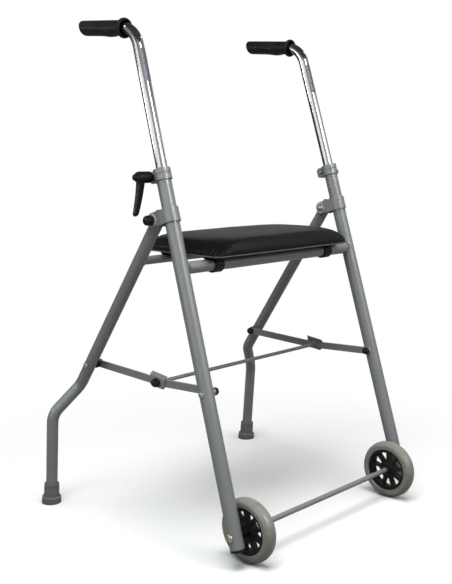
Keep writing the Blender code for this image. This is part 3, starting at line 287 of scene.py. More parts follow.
def grey_enamel():
    """Silver-grey stoved paint: fine metal flake under a clear top, a little orange peel."""
    f = Finish("grey_enamel", "frame_paint", Metallic=0.20, Coat_Weight=0.75, Coat_Roughness=0.07)
    cloud = f.noise(7, 3)
    flake = f.noise(3800, 1)
    peel = f.noise(430, 1.5)
    rub = f.spread(f.noise(46, 4), 0.60, 0.78)
    colour = f.mix(cloud, "7b7d7f", "888a8c")
    colour = f.mix(f.spread(flake, 0.35, 0.8) * 0.30, colour, "9c9d9e")
    colour = f.mix(rub * 0.16, colour, "66696a")
    f.bump(peel + flake * 0.05, 0.00022, 0.35)
    return f.paint(Base_Color=colour, Roughness=0.33 + cloud * 0.08 + rub * 0.12)


def bright_chrome():
    """Polished chrome with faint wipe marks and a breath of haze."""
    f = Finish("bright_chrome", "chrome", Metallic=1.0)
    haze = f.noise(24, 3)
    wipe = f.noise(380, 2, (1, 0.12, 0.12))
    colour = f.mix(haze, "dfe0dd", "f0f1ee")
    f.bump(wipe + f.noise(90, 2) * 0.6, 0.00012, 0.25)
    return f.paint(Base_Color=colour, Roughness=0.05 + haze * 0.09 + wipe * 0.03)


def plated_steel():
    """Bright zinc on screws and washers, a little cloudy."""
    f = Finish("plated_steel", "chrome", Metallic=0.9)
    cloud = f.noise(260, 3)
    grain = f.noise(2600, 1)
    f.bump(grain + cloud * 0.4, 0.00008, 0.4)
    return f.paint(Base_Color=f.mix(cloud, "b5b4a4", "efeede"), Roughness=0.20 + cloud * 0.16)


def moulded_black(name, slot, low, high, roughness, grain_scale, grain_depth):
    """Black moulded plastic: fine spark grain, faint flow marks and a dusting of scuffs."""
    f = Finish(name, slot, Specular_IOR_Level=0.38)
    flow = f.noise(34, 3, (1, 1, 0.4))
    grain = f.noise(grain_scale, 2)
    scuff = f.spread(f.noise(150, 5), 0.62, 0.8)
    colour = f.mix(flow, low, high)
    colour = f.mix(scuff * 0.12, colour, "3a3939")
    f.bump(grain + scuff * 0.3, grain_depth, 0.5)
    return f.paint(Base_Color=colour, Roughness=roughness + flow * 0.08 + scuff * 0.12)


def grip_rubber():
    """Soft black rubber, slightly brown, with a fine pebble."""
    f = Finish("grip_rubber", "grip_rubber", Specular_IOR_Level=0.35,
               Sheen_Weight=0.04, Sheen_Roughness=0.4)
    hand = f.noise(22, 3)
    pebble = f.cells(1500)
    colour = f.mix(f.spread(hand, 0.35, 0.7), "0f0e0d", "191715")
    f.bump(pebble + f.noise(700, 2) * 0.4, 0.00012, 0.35)
    return f.paint(Base_Color=colour, Roughness=0.36 + hand * 0.16)


def foot_rubber():
    """Matt grey rubber with a bloom and small pores."""
    f = Finish("foot_rubber", "foot_rubber", Specular_IOR_Level=0.35)
    bloom = f.noise(70, 4)
    pores = f.noise(1900, 2)
    low = f.spread(f.node("ShaderNodeSeparateXYZ", None, {"Vector": f.place}, "Z"), 0.0, 0.010)
    colour = f.mix(bloom, "5e5d61", "6b6a6e")
    # Darker towards the floor, over the lowest centimetre of the tip.
    colour = f.mix((1 - low) * 0.45, colour, "4d4d4d")
    f.bump(pores + bloom * 0.5, 0.00016, 0.4)
    return f.paint(Base_Color=colour, Roughness=0.5 + bloom * 0.14)


def tyre_rubber():
    """Solid warm-grey tyre, smooth, a little dull on its tread."""
    f = Finish("tyre_rubber", "tyre", Coat_Weight=0.6, Coat_Roughness=0.10)
    cloud = f.noise(40, 4)
    pores = f.noise(1500, 2)
    dust = f.spread(f.noise(210, 4), 0.55, 0.75)
    colour = f.mix(cloud, "7d7b74", "8c8983")
    colour = f.mix(dust * 0.2, colour, "989590")
    f.bump(pores + cloud * 0.5, 0.00014, 0.35)
    return f.paint(Base_Color=colour, Roughness=0.24 + cloud * 0.10 + dust * 0.14)


def seat_vinyl():
    """Black leather-grained vinyl with a soft brown sheen."""
    f = Finish("seat_vinyl", "seat_vinyl", Specular_IOR_Level=0.38)
    grain = f.cells(620, "SMOOTH_F1")
    crease = f.cells(330, "DISTANCE_TO_EDGE")
    cloud = f.noise(14, 3)
    furrow = 1 - f.spread(crease, 0.0, 0.10)
    colour = f.mix(cloud, "080707", "0f0d0c")
    # Painted shade: the colour is darker in the furrows of the grain.
    colour = f.mix(furrow * 0.5, colour, "060505")
    f.bump(grain * 0.6 - furrow * 0.5 + f.noise(1300, 2) * 0.25, 0.00045, 0.55)
    return f.paint(Base_Color=colour, Roughness=0.31 + cloud * 0.10 + furrow * 0.10)


def pale_nylon():
    """Milky nylon of washers and sleeves."""
    f = Finish("pale_nylon", "nylon", Subsurface_Weight=0.05)
    cloud = f.noise(120, 3)
    f.bump(f.noise(1400, 2), 0.0001, 0.4)
    return f.paint(Base_Color=f.mix(cloud, "a9a9b2", "c3c3ca"), Roughness=0.4 + cloud * 0.15)


def blank_film():
    """The bare strip on the handle tube: a thin blue-grey satin film."""
    f = Finish("blank_film", "chrome", Metallic=0.20, Coat_Weight=0.4, Coat_Roughness=0.15)
    cloud = f.noise(60, 3)
    f.bump(f.noise(900, 2), 0.00006, 0.4)
    return f.paint(Base_Color=f.mix(cloud, "565a64", "646873"), Roughness=0.32 + cloud * 0.1)


ENAMEL = grey_enamel()
CHROME = bright_chrome()
STEEL = plated_steel()
GLOSS_BLACK = moulded_black("gloss_black", "black_plastic", "0d0d0e", "161618", 0.26, 900, 0.00006)
SATIN_BLACK = moulded_black("satin_black", "black_plastic", "0f0f10", "191819", 0.40, 1500, 0.00012)
GRIP = grip_rubber()
FOOT = foot_rubber()
TYRE = tyre_rubber()
VINYL = seat_vinyl()
NYLON = pale_nylon()
FILM = blank_film()
# Painted highlight: the welt is drawn pale grey, much lighter than the black vinyl, to stand for the light
# line that shines along it.
PIPING_HIGHLIGHT = moulded_black("seat_piping_highlight", "seat_vinyl", "4c4c4b", "6a6a68", 0.30, 1300, 0.0001)

# Modelling

def mode(kind):
    bpy.ops.object.mode_set(mode=kind)


def start():
    if bpy.context.mode != "OBJECT":
        mode("OBJECT")
    bpy.ops.object.select_all(action="DESELECT")


def pick(obj):
    start()
    obj.select_set(True)
    bpy.context.view_layer.objects.active = obj


def added(name, data):
    """An object in the scene, with this data."""
    obj = bpy.data.objects.new(name, data)
    bpy.context.scene.collection.objects.link(obj)
    return obj


def everything():
    bpy.ops.mesh.select_all(action="SELECT")


def shaping(name):
    """Name the primitive just added, and open it for shaping."""
    obj = bpy.context.object
    obj.name = obj.data.name = name
    return opened(obj)


def opened(obj, kind="VERT"):
    """Open the active piece for shaping, with all of it selected."""
    mode("EDIT")
    bpy.ops.mesh.select_mode(type=kind)
    everything()
    return obj


def settled():
    """Leave the shaping, with the piece's own place, turn and size taken into its mesh."""
    mode("OBJECT")
    bpy.ops.object.transform_apply(location=True, rotation=True, scale=True)


def shaped(obj, merge=1e-6):
    """Close the shaping: merge doubles, turn the faces outwards and settle the piece in place."""
    everything()
    bpy.ops.mesh.remove_doubles(threshold=merge)
    bpy.ops.mesh.normals_make_consistent(inside=False)
    settled()
    return smoothed(obj)


def smoothed(obj, angle=SMOOTH):
    pick(obj)
    bpy.ops.object.shade_smooth_by_angle(angle=angle)
    return obj


def applied(obj, kind, **settings):
    """Add a modifier and apply it."""
    pick(obj)
    modifier = obj.modifiers.new(kind.lower(), kind)
    for key, value in settings.items():
        setattr(modifier, key, value)
    bpy.ops.object.modifier_apply(modifier=modifier.name)
    return smoothed(obj)


def softened(obj, width=0.0005, angle=40):
    """Round every edge sharper than the angle."""
    return applied(obj, "BEVEL", width=width, segments=2, limit_method="ANGLE", angle_limit=radians(angle),
                   harden_normals=False)


def walled(obj, thickness, offset=-1.0):
    return applied(obj, "SOLIDIFY", thickness=thickness, offset=offset, use_even_offset=True)


def carved(obj, cutter, operation="DIFFERENCE"):
    """Cut a piece with another one, or join the two. The other one is used up."""
    applied(obj, "BOOLEAN", object=cutter, operation=operation, solver="EXACT")
    bpy.data.objects.remove(cutter, do_unlink=True)
    return obj


def selected(obj, test):
    """Select the vertices that pass the test on their place."""
    mesh = bmesh.from_edit_mesh(obj.data)
    for vert in mesh.verts:
        vert.select_set(test(obj.matrix_world @ vert.co))
    mesh.select_flush_mode()
    bmesh.update_edit_mesh(obj.data)


def trimmed(radius, segments, parts="VERTICES"):
    """Round the selected corners of a thin plate, or the selected edges of a solid."""
    bpy.ops.mesh.bevel(offset=radius, segments=segments, affect=parts)


def extruded(step):
    bpy.ops.mesh.extrude_region_move(TRANSFORM_OT_translate={"value": step})


def facing(direction):
    return direction.to_track_quat("Z", "Y").to_euler()


def circle(name, sides, radius, place, turn=(0, 0, 0), fill="NGON"):
    start()
    bpy.ops.mesh.primitive_circle_add(vertices=sides, radius=radius, location=place, rotation=turn,
                                      fill_type=fill)
    return shaping(name)


def drawn(name, points, closed=False):
    """A line drawn from point to point."""
    start()
    bpy.ops.mesh.primitive_plane_add(size=0.001, location=points[0])
    obj = shaping(name)
    bpy.ops.mesh.merge(type="CENTER")
    stops = points + points[:1] if closed else points
    for a, b in zip(stops, stops[1:]):
        bpy.ops.mesh.extrude_vertices_move(TRANSFORM_OT_translate={"value": b - a})
    everything()
    if closed:
        bpy.ops.mesh.remove_doubles(threshold=1e-6)
    return obj


def turned(name, profile, base, direction, steps=48):
    """A turned piece, its profile given as (radius, distance along the direction)."""
    along = direction.normalized()
    out = along.cross(Z if abs(along.z) < 0.9 else X).normalized()
    closed = profile[0][0] > 0 and profile[-1][0] > 0
    obj = drawn(name, [base + out * r + along * h for r, h in profile], closed)
    bpy.ops.mesh.spin(steps=steps, angle=tau, center=base, axis=along)
    return shaped(obj)


def domed(r, tall, *shares):
    """Points of a profile, given as shares of its radius and of its height."""
    return [(r * a, tall * b) for a, b in shares]


def shank(r, length):
    """The rest of a bolt's profile, from under its head."""
    return [(r, 0), (r, length), (0, length)]


def bent_tube(name, corners, bends, radius, wall, sides=56, steps=14):
    """A tube along straight runs, with a bend at each inner corner and its ends open."""
    here = corners[0]
    obj = circle(name, sides, radius, here, facing(corners[1] - here), "NOTHING")
    for a, corner, b, bend in zip(corners, corners[1:], corners[2:], bends):
        to_a, to_b = (a - corner).normalized(), (b - corner).normalized()
        half = to_a.angle(to_b) / 2
        centre = corner + (to_a + to_b).normalized() * bend / sin(half)
        extruded(corner + to_a * bend / tan(half) - here)
        bpy.ops.mesh.spin(steps=steps, angle=pi - 2 * half, center=centre, axis=to_a.cross(to_b))
        here = corner + to_b * bend / tan(half)
    extruded(corners[-1] - here)
    return softened(walled(shaped(obj), wall), min(wall * 0.3, 0.0005), 60)


def arc(cx, cy, radius, first, last, steps):
    """Points on an arc, angles in degrees."""
    turns = [radians(first + (last - first) * i / steps) for i in range(steps + 1)]
    return [(cx + radius * cos(t), cy + radius * sin(t)) for t in turns]


def rounded(points, radius, steps=6):
    """An outline with its corners rounded."""
    out = []
    flat = [Vector(p) for p in points]
    for a, corner, b in zip(flat[-1:] + flat[:-1], flat, flat[1:] + flat[:1]):
        to_a, to_b = (a - corner).normalized(), (b - corner).normalized()
        half = to_a.angle(to_b) / 2
        reach = min(radius / tan(half), (a - corner).length * 0.45, (b - corner).length * 0.45)
        one, two = corner + to_a * reach, corner + to_b * reach
        for i in range(steps + 1):
            t = i / steps
            out.append(tuple(one * (1 - t) ** 2 + corner * 2 * t * (1 - t) + two * t ** 2))
    return out


def sawn(name, outline, origin, across, up, depth):
    """A flat outline, filled and given a depth."""
    obj = drawn(name, [origin + across * a + up * b for a, b in outline], True)
    bpy.ops.mesh.edge_face_add()
    extruded(depth)
    return shaped(obj)


def flat_bar(name, a, b, radius, depth):
    """A flat bar with round ends, from a to b."""
    obj = circle(name, 64, radius, a, facing(X))
    along = (b - a).normalized()
    selected(obj, lambda place: (place - a).dot(along) > 0)
    bpy.ops.transform.translate(value=b - a)
    everything()
    extruded(depth)
    return softened(shaped(obj), 0.0006)


def bead(name, ring, radius):
    """A round bead along a closed line, a little uneven."""
    start()
    curve = bpy.data.curves.new(name, "CURVE")
    curve.dimensions = "3D"
    curve.bevel_depth = radius
    curve.bevel_resolution = 5
    curve.resolution_u = 2
    spline = curve.splines.new("BEZIER")
    spline.bezier_points.add(len(ring) - 1)
    spline.use_cyclic_u = True
    for i, (point, place) in enumerate(zip(spline.bezier_points, ring)):
        point.co = place
        point.handle_left_type = point.handle_right_type = "AUTO"
        point.radius = 1.0 + 0.10 * sin(i * 2.1) + 0.05 * sin(i * 4.7)
    pick(added(name, curve))
    bpy.ops.object.convert(target="MESH")
    mode("EDIT")
    return shaped(bpy.context.object, 1e-5)


def cross_recess(obj, centre, size, depth):
    """Press a cross recess into the head of a screw that faces outwards."""
    for turn in (0.0, pi / 2):
        start()
        bpy.ops.mesh.primitive_cube_add(size=1, location=centre)
        cutter = bpy.context.object
        cutter.scale = (size, size * 0.26, depth * 2)
        cutter.rotation_mode = "QUATERNION"
        cutter.rotation_quaternion = (-X).to_track_quat("Z", "Y")
        cutter.rotation_quaternion @= Matrix.Rotation(turn + 0.3, 3, "Z").to_quaternion()
        bpy.context.view_layer.update()
        carved(obj, cutter)


def placed(obj, look, body, node=None):
    """Give a piece its finish and its body. It stands for this solid, or for the one with its own name."""
    obj.data.materials.clear()
    obj.data.materials.append(look.material)
    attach(obj, body)
    node = node or obj.name.split(".")[0]
    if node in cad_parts:
        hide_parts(node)
    return obj


def pair(obj, look, body, node=None):
    """Place a right-hand piece and its mirror image on the left, and give the mirror image back."""
    obj.name = obj.data.name = "right_" + obj.name
    placed(obj, look, body, node)
    mesh = obj.data.copy()
    mesh.transform(Matrix.Scale(-1, 4, X))
    mesh.flip_normals()
    twin = added(obj.name.replace("right_", "left_"), mesh)
    twin.data.name = twin.name
    return placed(twin, look, *[name and name.replace("right_", "left_") for name in (body, node)])


# Front frame

def front_legs():
    ends = [front_point(LEG_BOTTOM_Z), front_point(LEG_TOP_Z - LEG_TRIM)]
    pair(bent_tube("front_leg", ends, [], LEG_R, LEG_WALL, 72), ENAMEL, "front_frame")
    r, bore = LEG_R, LEG_R - LEG_WALL - 0.0004
    profile = [(0, 0.011), (bore, 0.011), (bore, -GAP), (r, -GAP), (r, -0.0036), (r * 0.97, -0.0047),
               (r * 0.86, -0.0054), (0, -0.0054)]
    pair(turned("leg_end_plug", profile, ends[0], FRONT_UP), SATIN_BLACK, "front_frame")


def cross_bar(name, line, z, radius, leg_radius, body):
    """A bar welded between two legs, with a bead at each end."""
    at = line(z)
    inset = leg_radius * 0.92
    ends = [at + X * inset, Vector((-at.x, at.y, at.z)) - X * inset]
    placed(bent_tube(name, ends, [], radius, BAR_WALL), ENAMEL, body)
    ring = []
    slope = (line(1) - line(0)).normalized()
    for i in range(26):
        t = tau * i / 26
        point = at + Y * radius * 1.04 * cos(t) + Z * radius * 1.04 * sin(t)
        axis = line(point.z)
        off = (Y * (point.y - axis.y)) - slope * (point.y - axis.y) * slope.y
        reach = sqrt(max(leg_radius ** 2 - off.length ** 2, 0))
        ring.append(Vector((axis.x + reach, point.y, point.z)))
    pair(bead(name.replace("seat_bar", "bar_weld"), ring, 0.0017), ENAMEL, body)


def tie_rod():
    end = WHEEL_X - HUB_IN - GAP
    r, nose = 0.0055, 0.0045
    profile = [(0, 0.0004), (nose, 0), (r - 0.0005, 0), (r, 0.0006), (r, 2 * end - 0.0006),
               (r - 0.0005, 2 * end), (nose, 2 * end), (0, 2 * end - 0.0004)]
    placed(turned("axle_tie_rod", profile, Vector((-end, AXLE_Y, AXLE_Z)), X), ENAMEL, "front_frame")


def axle_bolts():
    head = front_point(AXLE_Z) - X * (LEG_R / cos(SIDE_SPLAY) + GAP)
    inner = WHEEL_X - HUB_IN
    r, tall = 0.0089, 0.0042
    profile = domed(r, -tall, (0, 1), (0.42, 0.97), (0.70, 0.84), (0.9, 0.55), (1, 0.22), (1, 0))
    profile += shank(SHANK_R, abs(head.x) - inner + 0.012)
    bolt = turned("axle_bolt", profile, head, X, 40)
    cross_recess(bolt, head - X * tall, r * 1.35, 0.0030)
    pair(bolt, STEEL, "front_frame")
    length = side_x(AXLE_Z) - LEG_R - 0.0005 - inner
    profile = [(0.0043, 0), (0.0058, 0), (0.0058, 0.0313), (0.0072, 0.0313), (0.0075, 0.0316),
               (0.0075, length), (0.0043, length)]
    sleeve = turned("axle_sleeve", profile, Vector((-inner, AXLE_Y, AXLE_Z)), -X, 32)
    pair(sleeve, SATIN_BLACK, "front_frame")


def hinge_brackets():
    """A strap bent round the leg, its two lugs on either side of the rear leg."""
    middle = RING_R + STRAP / 2
    reach = PIVOT_OFFSET + BRACKET_HEIGHT / 2
    line = [(-middle, reach)] + arc(0, 0, middle, 180, 360, 28) + [(middle, reach)]
    base = front_point(BRACKET_Z) - STRAP_UP * BRACKET_HEIGHT / 2
    strap = drawn("hinge_bracket", [base + X * a + STRAP_BACK * b for a, b in line])
    extruded(STRAP_UP * BRACKET_HEIGHT)
    selected(strap, lambda place: (place - base).dot(STRAP_BACK) > reach - 1e-5)
    trimmed(BRACKET_HEIGHT / 2 - 0.0004, 10)
    shaped(strap)
    pair(softened(walled(strap, STRAP, 0.0)), ENAMEL, "front_frame")


def hinge_hardware():
    face = HINGE_FACE + GAP
    r, head, thick = 0.0125, 0.0068, 0.0015
    washer_face = face + thick
    profile = [(0.0043, 0), (r - 0.0002, 0), (r, 0.0003), (r, 0.0011), (r - 0.0004, thick), (0.0043, thick)]
    pair(turned("hinge_washer", profile, PIVOT - X * face, -X), NYLON, "front_frame")
    profile = [(0, -0.0065), (head * 0.45, -0.0063), (head * 0.78, -0.0054), (head * 0.95, -0.004),
               (head, -0.0026), (head, -thick), (r - 0.0003, -thick), (r, -0.0012), (r, -0.0003),
               (r - 0.0003, 0)] + shank(SHANK_R, face + washer_face + 0.0085)
    pair(turned("hinge_bolt", profile, PIVOT + X * face, -X), STEEL, "front_frame")
    r, tall = 0.0100, 0.0156
    profile = [(0, 0.001), (r - 0.0008, 0.001), (r - 0.0008, 0), (r - 0.0002, 0), (r, 0.0004)]
    profile += domed(r, tall, (1, 0.52), (0.985, 0.66), (0.93, 0.80), (0.82, 0.91), (0.62, 0.972),
                     (0.34, 0.994), (0, 1))
    cap = turned("hinge_cap", profile, PIVOT - X * (washer_face + GAP), -X, 56)
    pair(cap, GLOSS_BLACK, "front_frame")
    for side in ("right", "left"):
        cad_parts[side + "_hinge_sleeve"].data.materials[0] = NYLON.material


def height_clamps():
    """A split collar with two lugs behind the leg, and the bolt through them."""
    reach = CLAMP_BOLT_OFFSET + HUB_R
    inner, outer, skin = CLAMP_SLOT / 2, LUG_FACE, RING_R + CLAMP_STRAP
    root = degrees(acos(inner / RING_R))
    side = degrees(acos(outer / skin))
    outline = arc(0, 0, skin, 180 - side, 360 + side, 48) + [(outer, reach), (inner, reach)]
    outline += arc(0, 0, RING_R, 360 + root, 180 - root, 48) + [(-inner, reach), (-outer, reach)]
    low = CLAMP - STRAP_UP * CLAMP_HEIGHT / 2
    clamp = sawn("height_clamp", outline, low, X, STRAP_BACK, STRAP_UP * CLAMP_HEIGHT)
    pick(clamp)
    opened(clamp, "EDGE")
    mesh = bmesh.from_edit_mesh(clamp.data)
    for edge in mesh.edges:
        a, b = [v.co - CLAMP for v in edge.verts]
        level = abs((a - b).normalized().x) > 0.99
        edge.select_set(level and min(a.dot(STRAP_BACK), b.dot(STRAP_BACK)) > reach - 1e-4)
    bmesh.update_edit_mesh(clamp.data)
    trimmed(CLAMP_CORNER, 10, "EDGES")
    shaped(clamp)
    carved(clamp, clamp_slit())
    pair(softened(clamp, 0.0004), ENAMEL, "front_frame")
    profile = domed(0.0055, -0.0055, (0, 0.95), (0.30, 0.91), (0.58, 0.78), (0.82, 0.55), (0.96, 0.25),
                    (1, 0)) + shank(STUD_R, LUG_FACE * 2 + 0.017)
    bolt = turned("clamp_bolt", profile, CLAMP_BOLT + X * (LUG_FACE + GAP), -X, 32)
    pair(bolt, STEEL, "front_frame")


def clamp_slit():
    """The slit across the front half of the collar, between its fixed and its springing half."""
    outer = RING_R + CLAMP_STRAP + 0.002
    inner = RING_R + CLAMP_STRAP * 0.55
    outline = arc(0, 0, outer, 187, 353, 40) + arc(0, 0, inner, 353, 187, 40)
    return sawn("clamp_slit", outline, CLAMP + STRAP_UP * 0.0008, X, STRAP_BACK, STRAP_UP * 0.0010)


def levers():
    """A moulded lever: a round hub on the clamp's bolt, with a tapered arm hanging from it."""
    base = CLAMP_BOLT - X * (LUG_FACE + GAP)
    r, length = HUB_R, HUB_LENGTH
    neck, boss, end = 0.0055, 0.0068, HUB_LENGTH + 0.0075
    profile = [(0, 0.0002), (neck, 0.0002), (neck, 0.0052), (r * 0.80, 0.0058), (r * 0.95, 0.0076),
               (r, 0.0100), (r, length - r * 0.52), (r * 0.95, length - r * 0.25),
               (r * 0.82, length - r * 0.06), (boss * 1.12, length), (boss * 1.02, length + 0.0008),
               (boss, length + 0.0028), (boss * 0.95, end - 0.0028), (boss * 0.80, end - 0.0012),
               (boss * 0.55, end - 0.0002), (0, end)]
    hub = turned("clamp_lever", profile, base, -X, 64)
    carved(hub, lever_arm(base - X * ARM_OUT), "UNION")
    applied(hub, "REMESH", mode="VOXEL", voxel_size=0.00075)
    applied(hub, "SMOOTH", factor=0.5, iterations=5)
    pair(hub, GLOSS_BLACK, "right_lever")
    tip, depth = base - X * (end + 0.0001), 0.0012
    profile = [(0, depth), (0.0012, 0.0011), (0.0022, 0.0007), (0.0026, 0), (0.0024, -0.001), (0, -0.001)]
    screw = turned("lever_screw", profile, tip, -X, 28)
    cross_recess(screw, tip - X * depth, 0.003, 0.0007)
    pair(screw, GLOSS_BLACK, "right_lever")


def lever_arm(top):
    """The arm, drawn out downwards from its top with a rounded tip, and squared a little."""
    def drifted(place, share):
        return place - X * ARM_DRIFT_OUT * share ** 1.5 + Y * ARM_DRIFT_BACK * share ** 1.5

    here, size = top - Z * 0.003, ARM_TOP
    arm = circle("lever_arm", 32, size, here)
    for share in (0.12, 0.25, 0.40, 0.55, 0.70, 0.85, 0.93, 0.965, 0.985, 0.997, 1.0):
        there = drifted(top - Z * ARM_LENGTH * share, share)
        half = ARM_TOP + (ARM_TIP - ARM_TOP) * share
        past = ARM_LENGTH * share - (ARM_LENGTH - half)
        if past > 0:
            half *= sqrt(max(1 - (past / half) ** 2, 0.02))
        extruded(there - here)
        bpy.ops.transform.resize(value=(half / size, half / size, 1), center_override=there)
        here, size = there, half
    shaped(arm)
    for vert in arm.data.vertices:
        middle = drifted(top, min(max((top.z - vert.co.z) / ARM_LENGTH, 0), 1))
        dx, dy = vert.co.x - middle.x, vert.co.y - middle.y
        turn = atan2(dy, dx)
        swell = (abs(cos(turn)) ** 3 + abs(sin(turn)) ** 3) ** (-1 / 3)
        vert.co.x, vert.co.y = middle.x + dx * swell * 0.93, middle.y + dy * swell * 0.93
    return arm


# Handles

def handle_tubes():
    bottom = handle_point(LEG_TOP_Z - HANDLE_INSERT * cos(FRONT_LEAN))
    end = GRIP_START + HANDLE_ALONG * (GRIP_LENGTH - 0.0103)
    tube = bent_tube("handle_tube", [bottom, HANDLE_CORNER, end], [HANDLE_BEND_RADIUS], HANDLE_R,
                     TUBE_WALL, 64, 24)
    pair(tube, CHROME, "right_handle")
    low, high = handle_point(STRIP_LOW_Z), handle_point(STRIP_HIGH_Z)
    along = (high - low).normalized()
    front = (-Y + along * along.y).normalized()
    side = along.cross(front)
    turns = [radians(-25 + 67 * i / 20) for i in range(21)]
    r = HANDLE_R + 0.0001
    strip = drawn("blank_strip", [low + (front * cos(t) + side * sin(t)) * r for t in turns])
    for _ in range(6):
        extruded((high - low) / 6)
    ends = (0.0, (high - low).length)
    sides = [r * sin(turns[i]) for i in (0, -1)]
    selected(strip, lambda place: min(abs((place - low).dot(side) - edge) for edge in sides) < 1e-5
             and min(abs((place - low).dot(along) - end) for end in ends) < 1e-5)
    trimmed(0.0015, 5)
    shaped(strip)
    pair(walled(strip, 0.0002, 1.0), FILM, "right_handle")


def grip_rings():
    """(distance from the flange's face, half width, above, below) along the grip."""
    mouth, bore = HANDLE_R + 0.0042, HANDLE_R + 0.0004
    round_rings = [(0.0125, bore), (0.0112, bore), (0.0074, mouth - 0.0008), (0.0020, mouth - 0.0002)]
    for s, size in ((0.0006, 0.81), (0.0, 0.84), (0.0, 0.90), (0.0006, 0.945), (0.0020, 0.985),
                    (0.0040, 1.0), (0.0056, 0.99), (0.0070, 0.955), (0.0080, 0.89), (0.0086, 0.82)):
        round_rings.append((s, GRIP_FLANGE * size))
    rings = [(s, r, r, r) for s, r in round_rings]
    wide, high = GRIP_WIDE, GRIP_HIGH
    for s, across, share, more in (
            (0.0100, 0.945, 0.96, 0), (0.0135, 0.935, 0.94, 0), (0.0180, 0.94, 0.94, 0),
            (0.0240, 0.945, 0.96, 0), (0.0310, 0.955, 1, 0.0008), (0.0380, 0.97, 1, 0.0016),
            (0.0450, 0.985, 1, 0.0019), (0.0530, 1, 1, 0.0014), (0.0620, 1, 1, 0.0006),
            (0.0740, 1, 1, 0.0001), (0.0900, 1, 1, 0), (0.1050, 1, 1, 0), (0.1170, 1, 1, 0)):
        rings.append((s, wide * across, high, high * share + more))
    for angle in (10, 22, 35, 48, 60, 71, 80):
        t = radians(angle)
        drop = 0.0105 * (1 - cos(t))
        rings.append((0.1190 + 0.0105 * sin(t), wide - drop * 0.20, high - drop * 0.02, high - drop))
    for back, side, above, below in ((0, 0.0030, 0.0012, 0.0096), (0, 0.0050, 0.0030, 0.0108),
                                     (0.0008, 0.0062, 0.0042, 0.0116)):
        rings.append((GRIP_LENGTH - back, wide - side, high - above, high - below))
    return rings


def grips():
    """A moulded grip, drawn out ring by ring from its mouth to its closed end."""
    rings = grip_rings()
    here, wide, above, below = rings[0]
    grip = circle("grip", 64, 1, (0, here, 0), (pi / 2, 0, 0), "NOTHING")
    bpy.ops.transform.resize(value=(wide, 1, above), center_override=(0, here, 0))
    size = (wide, (above + below) / 2, (above - below) / 2)
    for s, wide, above, below in rings[1:]:
        high, lift = (above + below) / 2, (above - below) / 2
        extruded((0, s - here, lift - size[2]))
        bpy.ops.transform.resize(value=(wide / size[0], 1, high / size[1]),
                                 center_override=(0, s, lift))
        here, size = s, (wide, high, lift)
    bpy.ops.mesh.edge_face_add()
    bpy.ops.mesh.inset(thickness=0.002)
    settled()
    for vert in grip.data.vertices:
        vert.co = full_below(vert.co)
    grip.rotation_euler = (HANDLE_RISE, 0, 0)
    grip.location = GRIP_START
    mode("EDIT")
    pair(shaped(grip), GRIP, "right_handle")


def full_below(place):
    """Square the grip's section a little, past its flange."""
    share = min(max((place.y - 0.010) / 0.012, 0), 1)
    if hypot(place.x, place.z) < 1e-6 or share == 0:
        return place
    turn = atan2(place.z, place.x)
    swell = 1 + 0.035 * share * sin(2 * turn) ** 2
    return Vector((place.x * swell, place.y, place.z * swell))


# Rear frame

def rear_legs():
    down = (rear_point(0) - rear_point(1)).normalized()
    corners = [PIVOT - down * REAR_LEG_ABOVE_PIVOT, rear_point(UPPER_BEND_Z),
               lower_point(LOWER_BEND_Z), lower_point(0.0083)]
    bends = [UPPER_BEND_RADIUS, LOWER_BEND_RADIUS]
    pair(bent_tube("rear_leg", corners, bends, REAR_R, TUBE_WALL, 64, 16), ENAMEL, "rear_frame")
    bore, rim = REAR_R - 0.0019, REAR_LEG_ABOVE_PIVOT + GAP
    profile = [(0, rim - 0.0100), (bore, rim - 0.0100), (bore, rim)]
    profile += [(REAR_R * share, rim + h) for share, h in (
        (1, 0), (1, 0.0012), (0.97, 0.0028), (0.85, 0.0043), (0.62, 0.0053), (0.32, 0.0058), (0, 0.0059))]
    pair(turned("rear_leg_plug", profile, PIVOT, -down), GLOSS_BLACK, "rear_frame")
    foot_tips()


def foot_tips():
    """A rubber tip with a collar round the leg and a wide base, cut level at the floor."""
    foot = lower_point(0)
    up = (lower_point(1) - foot).normalized()
    collar, base, bore = 0.0167, 0.0213, REAR_R + GAP
    sink = 0.0405 * tan(LOWER_LEG_LEAN)
    profile = [(0, 0.008), (bore, 0.008), (bore, 0.0449), (bore + 0.0006, 0.0455)]
    profile += [(collar + more, h) for more, h in (
        (-0.0014, 0.0455), (-0.0005, 0.0450), (-0.0003, 0.0440), (-0.0003, 0.0370), (-0.0002, 0.0364),
        (0, 0.0360), (0, 0.0185), (0.0004, 0.0168), (0.0012, 0.0158))]
    profile += [(base + more, h) for more, h in (
        (-0.0022, 0.0155), (-0.0009, 0.0150), (-0.0004, 0.0138), (-0.0002, 0.0040), (0, 0.0030))]
    tip = turned("foot_tip", profile + [(base, -sink), (0, -sink)], foot, up, 72)
    pick(tip)
    opened(tip)
    bpy.ops.mesh.bisect(plane_co=(0, 0, 0), plane_no=(0, 0, 1), clear_inner=True, use_fill=True)
    pair(softened(shaped(tip), angle=50), FOOT, "rear_frame")


# Folding stays

def stays():
    a, b = front_point(FRONT_STAY_Z), rear_point(REAR_STAY_Z)
    mid = Vector((-STAY_X, MID_Y, MID_Z))
    depth, inner = -X * STAY_THICK, X * (STAY_THICK + GAP)
    front = flat_bar("front_stay", Vector((-STAY_X, a.y, a.z)), mid, STAY_HIGH / 2, depth)
    pair(front, ENAMEL, "front_stays")
    rear = flat_bar("rear_stay", Vector((-STAY_X, b.y, b.z)) + inner, mid + inner, STAY_HIGH / 2, depth)
    pair(rear, ENAMEL, "rear_stays")
    stop_brackets(mid)
    stay_bolts("front_stay", a, LEG_R, STAY_X, "front_frame")
    stay_bolts("rear_stay", b, REAR_R, STAY_X - STAY_THICK - GAP, "rear_frame")
    spacers(a, b)


